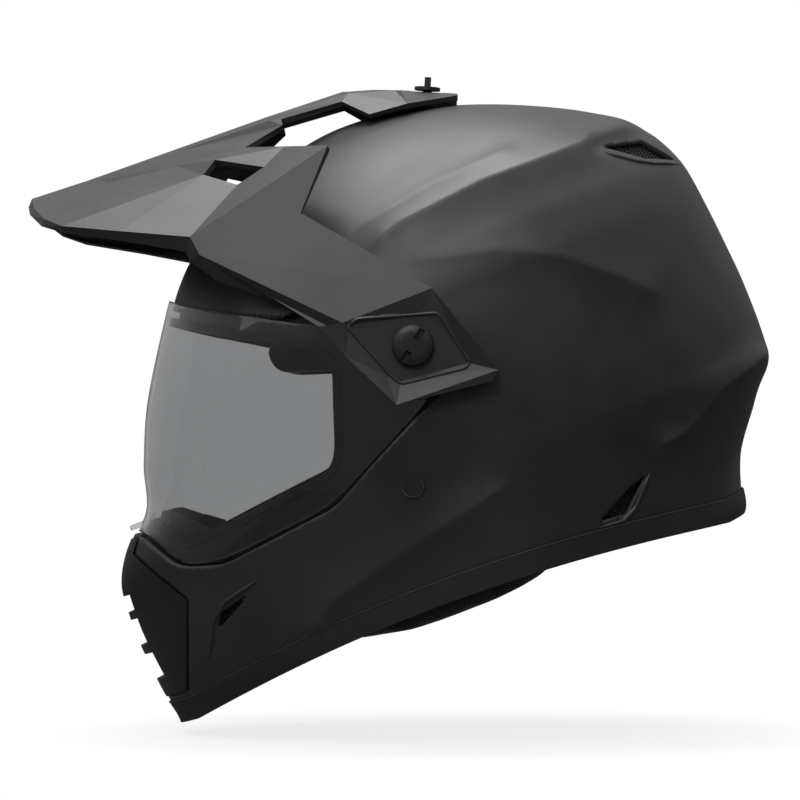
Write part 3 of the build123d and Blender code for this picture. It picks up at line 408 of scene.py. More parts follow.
def screened(name, color):
    """Moulded dust screen: raised bars, with the cells between them painted dark as shade in the openings."""
    material, tree, bsdf = shader(name, color, roughness=0.6, specular=0.3)
    cells = placed(tree, add_node(tree, "TexVoronoi", Scale=520.0, Randomness=0.15))
    cells.feature = "DISTANCE_TO_EDGE"
    bar = spread(tree, cells.outputs["Distance"], 1.0, 0.0, 0.05, 0.16)
    # bars painted lighter and the cells between them nearly black: painted shade in the screen's openings
    tint(tree, bsdf, bar, color, 0.15, 2.2)
    bump(tree, bsdf, bar, 0.8, 0.0006)
    return material


def clear(name, color):
    """Lightly smoked polycarbonate of the shield, with faint hairline marks."""
    material, tree, bsdf = shader(name, color, roughness=0.02)
    set_inputs(bsdf, Transmission_Weight=1.0, IOR=1.36)
    haze = noise(tree, 40.0, detail=6.0, rough=0.7)
    tree.links.new(spread(tree, haze.outputs["Fac"], 0.0, 0.03), bsdf.inputs["Roughness"])
    return material


def bright(name, color):
    """Polished steel with fine turning marks."""
    material, tree, bsdf = shader(name, color, roughness=0.25, metallic=1.0)
    marks = noise(tree, 700.0, detail=2.0)
    tree.links.new(spread(tree, marks.outputs["Fac"], 0.16, 0.34), bsdf.inputs["Roughness"])
    bump(tree, bsdf, marks.outputs["Fac"], 0.1, 0.00005)
    return material


# how each slot is made: kind of material and colour, then for moulded the roughness, specular, grain, relief
# and variation, and for woven the pitch, sheen and relief
LOOKS = {
    "shell_black": (moulded, (0.020, 0.0203, 0.0212), 0.44, 0.44, 1400.0, 0.12),
    "peak_black": (moulded, (0.018, 0.0183, 0.019), 0.46, 0.48, 1100.0, 0.25),
    "frame_plastic": (moulded, (0.010, 0.010, 0.0105), 0.5, 0.35, 900.0, 0.3),
    "screw_plastic": (moulded, (0.014, 0.014, 0.0145), 0.45, 0.4, 1500.0, 0.2),
    "snap_plastic": (moulded, (0.02, 0.02, 0.02), 0.5),
    "slip_plastic": (moulded, (0.55, 0.52, 0.08), 0.35, 0.5, 400.0, 0.05, 0.05),
    "mesh_plastic": (screened, (0.012, 0.012, 0.012)),
    "impact_foam": (beaded, (0.03, 0.03, 0.03)),
    "clear_lens": (clear, (0.47, 0.475, 0.48)),
    "trim_rubber": (moulded, (0.022, 0.022, 0.022), 0.6, 0.3, 500.0, 0.3),
    "gasket_rubber": (moulded, (0.008, 0.008, 0.008), 0.65, 0.3, 600.0, 0.3),
    "guard_rubber": (moulded, (0.012, 0.012, 0.012), 0.6, 0.3, 700.0, 0.3),
    "lining_fabric": (woven, (0.022, 0.022, 0.024), 0.0012),
    "roll_fabric": (woven, (0.018, 0.018, 0.020), 0.0009),
    "webbing": (woven, (0.016, 0.016, 0.016), 0.0016, 0.2, 0.9),
    "steel_parts": (bright, (0.55, 0.55, 0.56)),
    "rivet_black": (moulded, (0.02, 0.02, 0.021), 0.35, 0.5, 900.0, 0.1),
}
MATERIALS = {name: kind(name, *settings) for name, (kind, *settings) in LOOKS.items()}
SLOTS = {s["node"]: s["material_slot"] for s in frame["record"]["subparts"]}


def painted(obj, slot_name):
    """Puts one material on the whole piece."""
    obj.data.materials.clear()
    obj.data.materials.append(MATERIALS[slot_name])


for name, node in frame["nodes"].items():
    painted(node, SLOTS[name])


# outer shell
def eased(points, radius, count=5, closed=True):
    """Line with its corners rounded off by about a radius."""
    points = [np.asarray(q, float) for q in points]
    n, out = len(points), []
    for i, corner in enumerate(points):
        if not closed and i in (0, n - 1):
            out.append(corner)
            continue
        before, after = points[i - 1] - corner, points[(i + 1) % n] - corner
        a = corner + before * min(radius / max(np.linalg.norm(before), 1e-9), 0.45)
        b = corner + after * min(radius / max(np.linalg.norm(after), 1e-9), 0.45)
        for t in np.linspace(0, 1, count):
            out.append(a * (1 - t) ** 2 + corner * 2 * t * (1 - t) + b * t ** 2)
    return out


def round_shares(outline, radius):
    """Outline in shares with its corners rounded by a radius in metres."""
    flat = eased(place(outline), radius)
    return [(q[0] / LENGTH + 0.5, q[1] / HEIGHT) for q in flat]


def skin_grid(levels, columns, lens=False):
    """Points and outward normals of the skin, one row per level."""
    grid = np.stack([ring_curve(ring_points(h, lens), columns) for h in levels])
    along = np.roll(grid, -1, 1) - np.roll(grid, 1, 1)
    normal = np.cross(along, np.gradient(grid, axis=0))
    normal /= np.maximum(np.linalg.norm(normal, axis=2), 1e-12)[..., None]
    return grid, normal


def trimmed(grid, normal, cut, reach=0.0025, flattest=0.02):
    """Quads of a grid outside every cut, and its points pulled onto the cuts' outlines."""
    rows, columns = grid.shape[:2]
    points, normals = grid.reshape(-1, 3), normal.reshape(-1, 3)
    index = np.arange(rows * columns).reshape(rows, columns)
    quads = np.stack([index[:-1], np.roll(index[:-1], -1, 1), np.roll(index[1:], -1, 1), index[1:]], -1)
    quads = quads.reshape(-1, 4)
    keep = np.ones(len(quads), bool)
    for gap, _ in cut:
        keep &= gap[quads].mean(1) > 0
    quads = quads[keep]
    pairs = np.concatenate([quads[:, [k, (k + 1) % 4]] for k in range(4)])
    pairs = np.sort(pairs, 1)
    unique, count = np.unique(pairs, axis=0, return_counts=True)
    border = np.zeros(len(points), bool)
    border[unique[count == 1].ravel()] = True
    moved = points.copy()
    chosen = np.argmin(np.abs(np.stack([g for g, _ in cut])), 0)
    for k, (gap, way) in enumerate(cut):
        mine = border & (chosen == k)
        g = np.zeros((mine.sum(), 3))
        g[:, 1:] = way[mine]
        n = normals[mine]
        g -= n * (g * n).sum(1)[:, None]
        size = np.maximum((g * g).sum(1), flattest)
        moved[mine] += g * np.clip(-gap[mine] / size, -reach, reach)[:, None]
    return quads, moved


def from_quads(name, points, quads, slot_name, angle, cap=None):
    """Object from the points in use, with one more face where a cap lists its points."""
    used = np.unique(quads)
    remap = np.full(len(points), -1)
    remap[used] = np.arange(len(used))
    faces = [tuple(f) for f in remap[quads]]
    if cap is not None:
        faces.append(tuple(remap[cap]))
    return new_object(name, points[used], faces, slot_name, angle)


def build_shell():
    """Fine skin of the shell with its creases, cut where the solid is cut."""
    levels = np.concatenate([np.linspace(0.0, 0.90, 175), np.linspace(0.905, 0.988, 30),
                             [0.991, 0.994, 0.9965, 0.9985, 0.9998]])
    grid, normal = skin_grid(levels, SHELL_COLUMNS)
    yz = grid.reshape(-1, 3)[:, 1:]
    gaps = (round_shares(RECESS, RECESS_ROUND), MOUTH, CHIN_VENT, TOP_VENT, LOW_VENT)
    cut = [edge_distance(yz, outline) for outline in gaps]
    cut.append((yz[:, 1] - rim_height(yz[:, 0]) - SHELL_WALL, np.tile([0.0, 1.0], (len(yz), 1))))
    quads, moved = trimmed(grid, normal, cut)
    # creases, faded out towards every opening
    fade = np.ones(len(moved))
    for gap, _ in cut:
        fade *= smooth(gap / CREASE_CLEAR)
    lift = np.zeros(len(moved))
    for line, height, width in CREASES:
        away, t = line_distance(yz, line)
        ends = smooth(t / CREASE_END_SHARE) * smooth((1 - t) / CREASE_END_SHARE)
        lift += height * ends * np.clip(1 - away / width, 0, 1) ** 2
    lift *= fade
    moved += normal.reshape(-1, 3) * lift[:, None]
    crown = np.arange(len(moved) - SHELL_COLUMNS, len(moved))
    obj = from_quads("shell_skin", moved, quads, "shell_black", 40, crown)
    modified(obj, "SOLIDIFY", thickness=SHELL_WALL, offset=-1)
    return obj


def build_shield():
    """Smooth clear shield with rounded outline and a real wall."""
    grid, normal = skin_grid(np.linspace(*LENS_LEVELS), LENS_COLUMNS, lens=True)
    grid = grid - normal * LENS_SINK
    yz = grid.reshape(-1, 3)[:, 1:]
    gap, way = edge_distance(yz, round_shares(SHIELD, LENS_ROUND))
    hub = yz - np.array((PIVOT_Y, PIVOT_Z))
    far = np.linalg.norm(hub, axis=1)
    cut = [(-gap, -way), (far - LENS_HUB, hub / np.maximum(far, 1e-9)[:, None])]
    quads, moved = trimmed(grid, normal, cut)
    obj = from_quads("shield_lens", moved, quads, "clear_lens", 60)
    modified(obj, "SOLIDIFY", thickness=LENS_WALL, offset=-1)
    bevelled(obj, LENS_EDGE, 50)
    return obj


def rim_height(y):
    """Height of the rim line over the ground at each y: an arc between two places."""
    y0, y1 = RIM_FRONT - LENGTH / 2, LENGTH / 2 - RIM_REAR
    half = (y1 - y0) / 2
    radius = (half ** 2 + RIM_RISE ** 2) / (2 * RIM_RISE)
    mid = (y0 + y1) / 2
    inside = np.abs(y - mid) < half
    arc = np.sqrt(np.maximum(radius ** 2 - (y - mid) ** 2, 0)) - (radius - RIM_RISE)
    return np.where(inside, arc, 0.0)


shell = build_shell()
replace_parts(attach(shell, "helmet"), "outer_shell")
lens = build_shield()
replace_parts(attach(lens, "shield_body"), "shield")


# places on the shell
def side_x(y, z):
    """Half width of the shell at a side-view place."""
    front, rear, half, widest, ahead, behind = row_at(z / HEIGHT)
    u = y / LENGTH + 0.5
    reach, power = (widest - front, ahead) if u < widest else (rear - widest, behind)
    s = min(abs(u - widest) / reach, 1.0)
    return half * HALF * max(1 - s ** power, 1e-6) ** (1 / power)


def side_point(y, z, depth=0.0, side=1):
    """Point of the skin at a side-view place, sunk along its normal, and the normal."""
    x = side_x(y, z)
    dy = (side_x(y + PROBE, z) - side_x(y - PROBE, z)) / (2 * PROBE)
    dz = (side_x(y, z + PROBE) - side_x(y, z - PROBE)) / (2 * PROBE)
    normal = Vector((1, -dy, -dz)).normalized()
    point = Vector((x, y, z)) - normal * depth
    return Vector((point.x * side, point.y, point.z)), Vector((normal.x * side, normal.y, normal.z))


def front_point(x, z, depth=0.0):
    """Point of the front's skin at a front-view place, sunk along its normal, and the normal."""
    def back(x, z):
        front, _, half, widest, ahead, _ = row_at(z / HEIGHT)
        s = min(abs(x) / (half * HALF), 1.0)
        return (widest - (widest - front) * max(1 - s ** ahead, 1e-6) ** (1 / ahead) - 0.5) * LENGTH
    dx = (back(x + PROBE, z) - back(x - PROBE, z)) / (2 * PROBE)
    dz = (back(x, z + PROBE) - back(x, z - PROBE)) / (2 * PROBE)
    normal = Vector((dx, -1, dz)).normalized()
    return Vector((x, back(x, z), z)) - normal * depth, normal


class Bars:
    """Many closed bars gathered into one mesh."""

    def __init__(self):
        self.verts, self.faces = [], []

    def add(self, sections, closed=False):
        """Adds a bar through its sections, as a loop or with both ends shut."""
        start, k, n = len(self.verts), len(sections[0]), len(sections)
        for section in sections:
            self.verts.extend(section)
        for i in range(n if closed else n - 1):
            a = start + i * k
            b = start + (i + 1) % n * k
            for j in range(k):
                self.faces.append((a + j, a + (j + 1) % k, b + (j + 1) % k, b + j))
        if not closed:
            self.faces.append(tuple(start + j for j in range(k - 1, -1, -1)))
            self.faces.append(tuple(start + (n - 1) * k + j for j in range(k)))

    def make(self, name, slot_name, angle=40):
        """The gathered bars as one object."""
        obj = new_object(name, self.verts, self.faces, slot_name, angle)
        bm = bmesh.new()
        bm.from_mesh(obj.data)
        bmesh.ops.recalc_face_normals(bm, faces=bm.faces)
        bm.to_mesh(obj.data)
        bm.free()
        return obj


def along_line(points, step, closed=False):
    """Points of a line set evenly, about one step apart."""
    points = [Vector(p) for p in points]
    if closed:
        points.append(points[0])
    sizes = [(b - a).length for a, b in zip(points, points[1:])]
    total = sum(sizes)
    count = max(int(total / step), 2)
    out, i, done = [], 0, 0.0
    for k in range(count if closed else count + 1):
        want = total * k / count
        while i < len(sizes) - 1 and done + sizes[i] < want:
            done += sizes[i]
            i += 1
        out.append(points[i].lerp(points[i + 1], min((want - done) / max(sizes[i], 1e-9), 1)))
    return out


def rounded(points, rounds=2, closed=False):
    """Line with its corners cut off, more than once."""
    points = [Vector(p) for p in points]
    for _ in range(rounds):
        ends = points[1:] + points[:1] if closed else points[1:]
        cut = [q for a, b in zip(points, ends) for q in (a.lerp(b, 0.22), a.lerp(b, 0.78))]
        points = cut if closed else [points[0]] + cut[1:-1] + [points[-1]]
    return points


def ridge(bars, places, width, height, closed=False, root=0.0006):
    """Raised lip along (point, normal) places, thinned out at loose ends."""
    n = len(places)
    sections = []
    for i, (point, normal) in enumerate(places):
        before = places[(i - 1) % n if closed else max(i - 1, 0)][0]
        after = places[(i + 1) % n if closed else min(i + 1, n - 1)][0]
        across = normal.cross((after - before).normalized()).normalized()
        size = 1.0 if closed else max(min(min(i, n - 1 - i) / (0.16 * n), 1.0), 0.15)
        w, h = width * size / 2, height * size
        shape = ((-w, -root), (-0.45 * w, 0.8 * h), (0, h), (0.45 * w, 0.8 * h), (w, -root))
        sections.append([point + across * a + normal * b for a, b in shape])
    bars.add(sections, closed)


def screen_bars(bars, inside, spot, low, high, pitch, width, thick):
    """Crossed bars over a flat patch: inside says where, spot carries (a, b) onto the skin."""
    low, high = np.array(low), np.array(high)
    centre = (low + high) / 2
    reach = np.linalg.norm(high - low) / 2
    for angle in (0.55, -0.75):
        d = np.array((math.cos(angle), math.sin(angle)))
        n = np.array((-d[1], d[0]))
        for k in np.arange(-reach, reach, pitch):
            ts = np.arange(-reach, reach, 0.0009)
            pts = centre + n * k + ts[:, None] * d
            ok = inside(pts)
            run = []
            for p, good in zip(list(pts) + [None], list(ok) + [False]):
                if good:
                    run.append(p)
                    continue
                if len(run) > 2:
                    rows = []
                    for q in run:
                        point, normal = spot(*q)
                        side_on, _ = spot(*(q + n * 0.0004))
                        across = (side_on - point).normalized() * width / 2
                        up = normal * thick / 2
                        rows.append([point + across * a + up * b for a, b in CORNERS])
                    bars.add(rows)
                run = []


# soft pieces
CLOTH_FRAMES = 20
CLOTH_PRESSURE = 4.0


def free_copy(node, name):
    """Mesh of a CAD node as an object of its own."""
    return linked(name, frame["nodes"][node].data.copy())


def applied(obj):
    """Turns what the modifiers give into the mesh itself."""
    mesh = bpy.data.meshes.new_from_object(obj.evaluated_get(bpy.context.evaluated_depsgraph_get()))
    obj.modifiers.clear()
    obj.data = mesh
    return obj


def remeshed(obj, voxel, rounds=3):
    """Even small faces all over, with eased corners."""
    modified(obj, "REMESH", mode="VOXEL", voxel_size=voxel)
    modified(obj, "SMOOTH", factor=0.5, iterations=rounds)
    return applied(obj)


def rows_of(entries, name):
    """Three numbers of each entry, one row each."""
    values = np.empty(len(entries) * 3)
    entries.foreach_get(name, values)
    return values.reshape(-1, 3)


def set_coordinates(mesh, co):
    """Moves the points of a mesh."""
    mesh.vertices.foreach_set("co", np.asarray(co, float).ravel())
    mesh.update()


def puffed(node, name, slot_name, voxel, shrink, cap):
    """Padding: the solid's shape drawn in, then blown up as cloth, within a cap."""
    obj = remeshed(free_copy(node, name), voxel)
    start = rows_of(obj.data.vertices, "co") - rows_of(obj.data.vertex_normals, "vector") * shrink
    set_coordinates(obj.data, start)
    cloth = obj.modifiers.new("cloth", "CLOTH")
    cloth.settings.quality = 5
    cloth.settings.use_pressure = True
    cloth.settings.uniform_pressure_force = CLOTH_PRESSURE
    cloth.settings.effector_weights.gravity = 0
    cloth.collision_settings.use_collision = False
    scene = bpy.context.scene
    for number in range(1, CLOTH_FRAMES + 1):
        scene.frame_set(number)
    swollen = obj.evaluated_get(bpy.context.evaluated_depsgraph_get())
    moved = rows_of(swollen.data.vertices, "co") - start
    obj.modifiers.clear()
    scene.frame_set(1)
    size = np.linalg.norm(moved, axis=1)
    moved *= (np.minimum(size, cap) / np.maximum(size, 1e-9))[:, None]
    set_coordinates(obj.data, start + moved)
    modified(obj, "SUBSURF", levels=1, render_levels=1)
    applied(obj)
    painted(obj, slot_name)
    soften_shading(obj, 60)
    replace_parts(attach(obj, "helmet"), node)
    return obj


def quilted(obj, towards, depth, cell):
    """Sewn channels on the side that faces a place: puffs between crossed seams."""
    co, n = rows_of(obj.data.vertices, "co"), rows_of(obj.data.vertex_normals, "vector")
    way = np.array(towards) - co
    way /= np.linalg.norm(way, axis=1)[:, None]
    facing = smooth(((n * way).sum(1) - 0.25) / 0.4)
    a = np.pi * (co[:, 1] + co[:, 2]) / cell
    b = np.pi * (co[:, 1] - co[:, 2]) / cell
    groove = np.minimum(np.abs(np.sin(a)), np.abs(np.sin(b)))
    sunk = np.clip(1 - groove / 0.28, 0, 1) ** 1.5
    set_coordinates(obj.data, co - n * (sunk * facing * depth)[:, None])


def met_places(obj, line, start, way):
    """Places of a piece's surface, with normals, that are met along x from start."""
    mesh = obj.data
    faces = [tuple(q.vertices) for q in mesh.polygons]
    tree = BVHTree.FromPolygons([v.co.copy() for v in mesh.vertices], faces)
    met = [tree.ray_cast(Vector((start, q.x, q.y)), Vector((way, 0, 0)))[:2] for q in line]
    return [(hit, normal) for hit, normal in met if hit is not None]


def round_bar(places, wide, tall, count):
    """Closed bar of oval section along (point, normal) places."""
    ring = []
    for i, (point, normal) in enumerate(places):
        after, before = places[(i + 1) % len(places)][0], places[i - 1][0]
        across = normal.cross((after - before).normalized()).normalized()
        ring.append(oval(point, across, normal, wide, tall, count))
    bars = Bars()
    bars.add(ring, True)
    return bars


def seam(obj, outline, side, name, inset_from, radius=0.0007):
    """Piping that runs round a pad's face, found by looking at it from the middle."""
    middle = Vector(place(inset_from))
    line = rounded([middle.lerp(Vector(q), 0.86) for q in place(outline)], 2, True)
    line = along_line(line, 0.002, True)
    bars = round_bar(met_places(obj, line, 0, side), radius, radius, 8)
    piping = bars.make(name, "roll_fabric", 60)
    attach(piping, "helmet")


CHEEK = [(0.245, 0.085), (0.300, 0.045), (0.380, 0.022), (0.500, 0.022), (0.580, 0.036), (0.625, 0.080),
         (0.630, 0.300), (0.600, 0.405), (0.440, 0.410), (0.380, 0.345), (0.300, 0.290), (0.240, 0.262)]
for side, word in SIDES:
    pad = puffed("cheek_pad_" + word, "cheek_cushion_" + word, "lining_fabric",
                 voxel=0.004, shrink=0.0016, cap=0.0030)
    quilted(pad, (0, 0.0, 0.06), depth=0.0012, cell=0.032)
    seam(pad, CHEEK, side, "cheek_piping_" + word, (0.43, 0.21))
    puffed("strap_sleeve_" + word, "strap_pad_" + word, "roll_fabric",
           voxel=0.0013, shrink=0.0004, cap=0.0009)
puffed("neck_roll", "neck_cushion", "roll_fabric", voxel=0.004, shrink=0.0014, cap=0.0028)
crown = remeshed(free_copy("comfort_liner", "crown_padding"), voxel=0.0022, rounds=2)
painted(crown, "lining_fabric")
quilted(crown, (0, 0.01, 0.12), depth=0.0016, cell=0.034)
soften_shading(crown, 60)
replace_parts(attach(crown, "helmet"), "comfort_liner")

# webbing of the chin strap
STRAP_Y = 0.1656 - LENGTH / 2
STRAP_HALF = 0.012
STRAP_THICK = 0.0018
STRAP_SINK = 0.0052
STRAP_TOP = 0.0885
STRAP_TURN = 0.0629
STRAP_INNER = 0.0614
STRAP_STEP = 0.0022
STRAP_SHARES = (-1, -0.97, -0.8, -0.55, -0.28, 0, 0.28, 0.55, 0.8, 0.97, 1)
THREAD = 0.00028
STITCH_PITCH = 0.0019
STITCH_LENGTH = 0.0012


def webbing_rows(path, half, spread_at=None):
    """Sections of flat webbing along (x, z) places; spread_at gives x across its width."""
    rows = []
    n = len(path)
    for i, (x, z) in enumerate(path):
        ax, az = path[max(i - 1, 0)]
        bx, bz = path[min(i + 1, n - 1)]
        t = Vector((bx - ax, 0, bz - az)).normalized()
        normal = Vector((-t.z, 0, t.x))
        face, back = [], []
        for w in STRAP_SHARES:
            thick = STRAP_THICK / 2 * (1 - 0.55 * abs(w) ** 8)
            shift = spread_at(i, w) if spread_at else 0.0
            centre = Vector((x + shift, STRAP_Y + w * half, z))
            face.append(centre + normal * thick)
            back.append(centre - normal * thick)
        rows.append(face + back[::-1])
    return rows


def arc(cx, cz, radius, start, end, count):
    """Places on an arc in x and z, between two angles in degrees."""
    turns = [math.radians(start + (end - start) * k / count) for k in range(count + 1)]
    return [(cx + radius * math.cos(t), cz + radius * math.sin(t)) for t in turns]


def strap_path(side):
    """Webbing from the rivet down the wall, in through the pad and down inside it."""
    sink = STRAP_SINK + STRAP_THICK / 2
    high = [side_point(STRAP_Y, z, sink, side)[0] for z in np.linspace(STRAP_TOP, 0.0665, 9)]
    path = [(p.x, p.z) for p in high]
    wall = side_point(STRAP_Y, STRAP_TURN, sink, side)[0].x
    path += [(wall - side * 0.0008, 0.0642), (wall - side * 0.0030, 0.0630)]
    inner = side * STRAP_INNER
    path += [(x, STRAP_TURN) for x in np.linspace(wall - side * 0.008, inner + side * 0.004, 10)]
    path += [(inner + side * 0.0012, 0.0624), (inner, 0.0606)]
    return path, inner


def follow_wall(side):
    """How the webbing bends across its width where it lies on the wall."""
    def shift(i, w):
        fade = max(0.0, 1 - i / 10)
        z = STRAP_TOP - STRAP_STEP * min(i, 10)
        middle = side_point(STRAP_Y, z, 0.006, side)[0].x
        edge = side_point(STRAP_Y + w * STRAP_HALF, z, 0.006, side)[0].x
        return (edge - middle) * fade
    return shift


def stitches(bars, x, z0, z1, side):
    """Box of thread stitches on the webbing's face."""
    for row in np.linspace(z0, z1, 4):
        for k in range(10):
            y = STRAP_Y - 0.0085 + k * STITCH_PITCH
            a, b = Vector((x, y, row)), Vector((x, y + STITCH_LENGTH, row + 0.0003))
            t = (b - a).normalized()
            u = Vector((side, 0, 0))
            v = t.cross(u)
            bars.add([oval(p, u, v, THREAD, THREAD, 6) for p in (a, a.lerp(b, 0.5), b)])


short, inner = strap_path(1)
short += [(inner, z) for z in np.linspace(0.058, 0.0345, 10)]
bars = Bars()
bars.add(webbing_rows(short, STRAP_HALF, follow_wall(1)))
LOOP_Z = 0.03112
LOOP_RADIUS = 0.00288
loop = arc(0.05905, LOOP_Z, LOOP_RADIUS, 90, 270, 12) + arc(0.06375, LOOP_Z, LOOP_RADIUS, -90, 90, 12)
bars.add(webbing_rows([loop[-1]] + loop + [loop[0]], 0.0100)[1:-1], True)
stitches(bars, inner - STRAP_THICK / 2, 0.0352, 0.0372, -1)
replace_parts(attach(bars.make("webbing_short", "webbing", 50), "helmet"), "strap_short")
long, inner = strap_path(-1)
long += [(inner, z) for z in np.linspace(0.058, 0.0175, 16)]
long += arc(-0.05815, 0.01615, 0.00325, 180, 360, 14)
LONG_END_X = -0.0549
long += [(LONG_END_X, z) for z in np.linspace(0.0185, 0.056, 14)]
bars = Bars()
bars.add(webbing_rows(long, STRAP_HALF, follow_wall(-1)))
stitches(bars, LONG_END_X + STRAP_THICK / 2, 0.0535, 0.0550, 1)
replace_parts(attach(bars.make("webbing_long", "webbing", 50), "helmet"), "strap_long")

# breath guard
RIB_PITCH = 0.011
RIB_DEPTH = 0.00035
guard = remeshed(free_copy("breath_guard", "nose_guard"), voxel=0.0008, rounds=2)
co = rows_of(guard.data.vertices, "co")
n = rows_of(guard.data.vertex_normals, "vector")
ribs = 0.5 + 0.5 * np.cos(co[:, 0] * 2 * np.pi / RIB_PITCH)
set_coordinates(guard.data, co - n * (ribs ** 6 * RIB_DEPTH)[:, None])
painted(guard, "guard_rubber")
soften_shading(guard, 50)
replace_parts(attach(guard, "helmet"), "breath_guard")

# dust screens with open weave
WEAVE_SINK = 0.0028
WEAVE_OVERLAP = 0.0004
MOUTH_SINK = 0.0060
MOUTH_HALF = 0.0245
MOUTH_MIDDLE = 0.043
MOUTH_RISE = 0.0205
for vent, outline in (("chin_vent", CHIN_VENT), ("rear_top", TOP_VENT), ("rear_low", LOW_VENT)):
    for side, word in SIDES:
        bars = Bars()
        flat = place(outline)
        screen_bars(bars, lambda pts, o=outline: edge_distance(pts, o)[0] < WEAVE_OVERLAP,
                    lambda a, b, k=side: side_point(a, b, WEAVE_SINK, k), flat.min(0), flat.max(0),
                    pitch=0.0015, width=0.00045, thick=0.0006)
        weave = bars.make(f"{vent}_weave_{word}", "mesh_plastic", 30)
        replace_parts(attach(weave, "helmet"), f"{vent}_mesh_{word}")
bars = Bars()
screen_bars(bars,
            lambda pts: (np.abs(pts[:, 0]) < MOUTH_HALF) & (np.abs(pts[:, 1] - MOUTH_MIDDLE) < MOUTH_RISE),
            lambda a, b: front_point(a, b, MOUTH_SINK),
            (-MOUTH_HALF, MOUTH_MIDDLE - MOUTH_RISE), (MOUTH_HALF, MOUTH_MIDDLE + MOUTH_RISE),
            pitch=0.0021, width=0.0006, thick=0.0008)
weave = bars.make("mouth_vent_weave", "mesh_plastic", 30)
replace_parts(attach(weave, "helmet"), "mouth_vent_mesh")

# raised lips: line, width, height
LIPS = [([(0.210, 0.224), (0.132, 0.196), (0.096, 0.104)], 0.0030, 0.0013),
        ([(0.664, 0.090), (0.716, 0.084), (0.766, 0.158)], 0.0026, 0.0012),
        ([(0.856, 0.764), (0.912, 0.712), (0.966, 0.690)], 0.0026, 0.0012)]
for side, word in SIDES:
    bars = Bars()
    for line, width, height in LIPS:
        spots = along_line(rounded(place(line), 1), 0.0015)
        ridge(bars, [side_point(q.x, q.y, 0.0, side) for q in spots], width, height)
    lips = bars.make("vent_lips_" + word, "shell_black", 50)
    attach(lips, "helmet")

DIAMOND = [(-0.0209, 0.1622), (-0.0149, 0.1642), (0.0239, 0.1529), (0.0302, 0.1245), (0.0273, 0.1224),
           (-0.0052, 0.1261), (-0.0078, 0.1292)]
for side, word in SIDES:
    line = along_line(eased(DIAMOND, 0.002, 4), 0.0009, True)
    spots = met_places(frame["nodes"]["peak"], line, side * 0.2, -side)
    bars = Bars()
    ridge(bars, spots, width=0.0024, height=0.0010, closed=True)
    lip = bars.make("peak_lip_" + word, "peak_black", 50)
    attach(lip, "peak_body")

# rubber bead round the window
def window_places(depth, count=26):
    """The window's outline all the way round the face, as places on the sunk skin."""
    flat = along_line(eased(place(WINDOW), 0.009, 6, closed=False), 0.003)
    side = [side_point(q.x, q.y, depth) for q in flat]
    mirror = [(Vector((-q.x, q.y, q.z)), Vector((-n.x, n.y, n.z))) for q, n in side]
    low, high = side[0][0], side[-1][0]
    bottom = [front_point(low.x * (2 * k / count - 1), low.z, depth) for k in range(1, count)]
    top = [front_point(high.x * (1 - 2 * k / count), high.z, depth) for k in range(1, count)]
    return side + top + mirror[::-1] + bottom


bars = round_bar(window_places(depth=0.0048), wide=0.0026, tall=0.0013, count=12)
bead = bars.make("window_bead", "gasket_rubber", 60)
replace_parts(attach(bead, "helmet"), "eyeport_gasket")

# rings round the rivets' caps: radius, half thickness
UP = Vector((0, 0, 1))
RIVET_Z = 0.0766
RIVET_PROUD = 0.0011
RIVET_RINGS = ((0.00535, 0.00035), (0.0030, 0.00022))
for side, word in SIDES:
    centre, normal = side_point(STRAP_Y, RIVET_Z, -RIVET_PROUD, side)
    u = normal.cross(UP).normalized()
    v = normal.cross(u)
    bars = Bars()
    for radius, thick in RIVET_RINGS:
        ways = oval(Vector((0, 0, 0)), u, v, 1.0, 1.0, 48)
        bars.add([oval(centre + out * radius, out, normal, thick, thick, 8) for out in ways], True)
    ring = bars.make("rivet_ring_" + word, "steel_parts", 60)
    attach(ring, "helmet")

# lifting tab of the shield: place in y, half width, half thickness
TAB_Z = 0.1053
TAB_SECTIONS = ((-0.1590, 0.0080, 0.0014), (-0.1630, 0.0079, 0.0014), (-0.1650, 0.0074, 0.0014),
                (-0.1658, 0.0066, 0.0012), (-0.1660, 0.0050, 0.0008))
bars = Bars()
bars.add([[Vector((half * a, y, TAB_Z + thick * b)) for a, b in CORNERS] for y, half, thick in TAB_SECTIONS])
tab = bars.make("shield_tab", "clear_lens", 40)
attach(tab, "shield_body")

# line along the top of the edge trim
TRIM_COLUMNS = 280
TRIM_TOP = 0.0122
TRIM_PROUD = 0.0009
bars = Bars()
grid, normal = skin_grid(np.linspace(0.0, 0.14, 40), TRIM_COLUMNS)
ring = []
for j in range(TRIM_COLUMNS):
    column = grid[:, j]
    want = rim_height(column[:, 1]) + TRIM_TOP
    k = int(np.argmin(np.abs(column[:, 2] - want)))
    lower = max(k - 1, 0) if column[k, 2] > want[k] else k
    t = (want[k] - column[lower, 2]) / (column[lower + 1, 2] - column[lower, 2])
    point = Vector(column[lower] * (1 - t) + column[lower + 1] * t)
    n = Vector(normal[lower, j])
    ring.append(oval(point + n * TRIM_PROUD, UP, n, 0.0005, 0.0004, 8))
bars.add(ring, True)
line = bars.make("trim_line", "trim_rubber", 60)
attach(line, "helmet")

# padding at the temples: outline, then depth and scale of each layer
TEMPLE = [(0.311, 0.657), (0.308, 0.625), (0.316, 0.588), (0.401, 0.546), (0.425, 0.575), (0.420, 0.640),
          (0.380, 0.662)]
TEMPLE_LAYERS = ((0.0140, 0.90), (0.0155, 0.98), (0.0200, 1.0), (0.0250, 1.0), (0.0285, 0.96), (0.0300, 0.86))
for side, word in SIDES:
    flat = eased(place(TEMPLE), 0.006, 5)
    middle = np.mean(flat, 0)
    bars = Bars()
    bars.add([[side_point(*(middle + (q - middle) * scale), depth, side)[0] for q in flat]
              for depth, scale in TEMPLE_LAYERS])
    block = bars.make("temple_pad_" + word, "lining_fabric", 60)
    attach(block, "helmet")

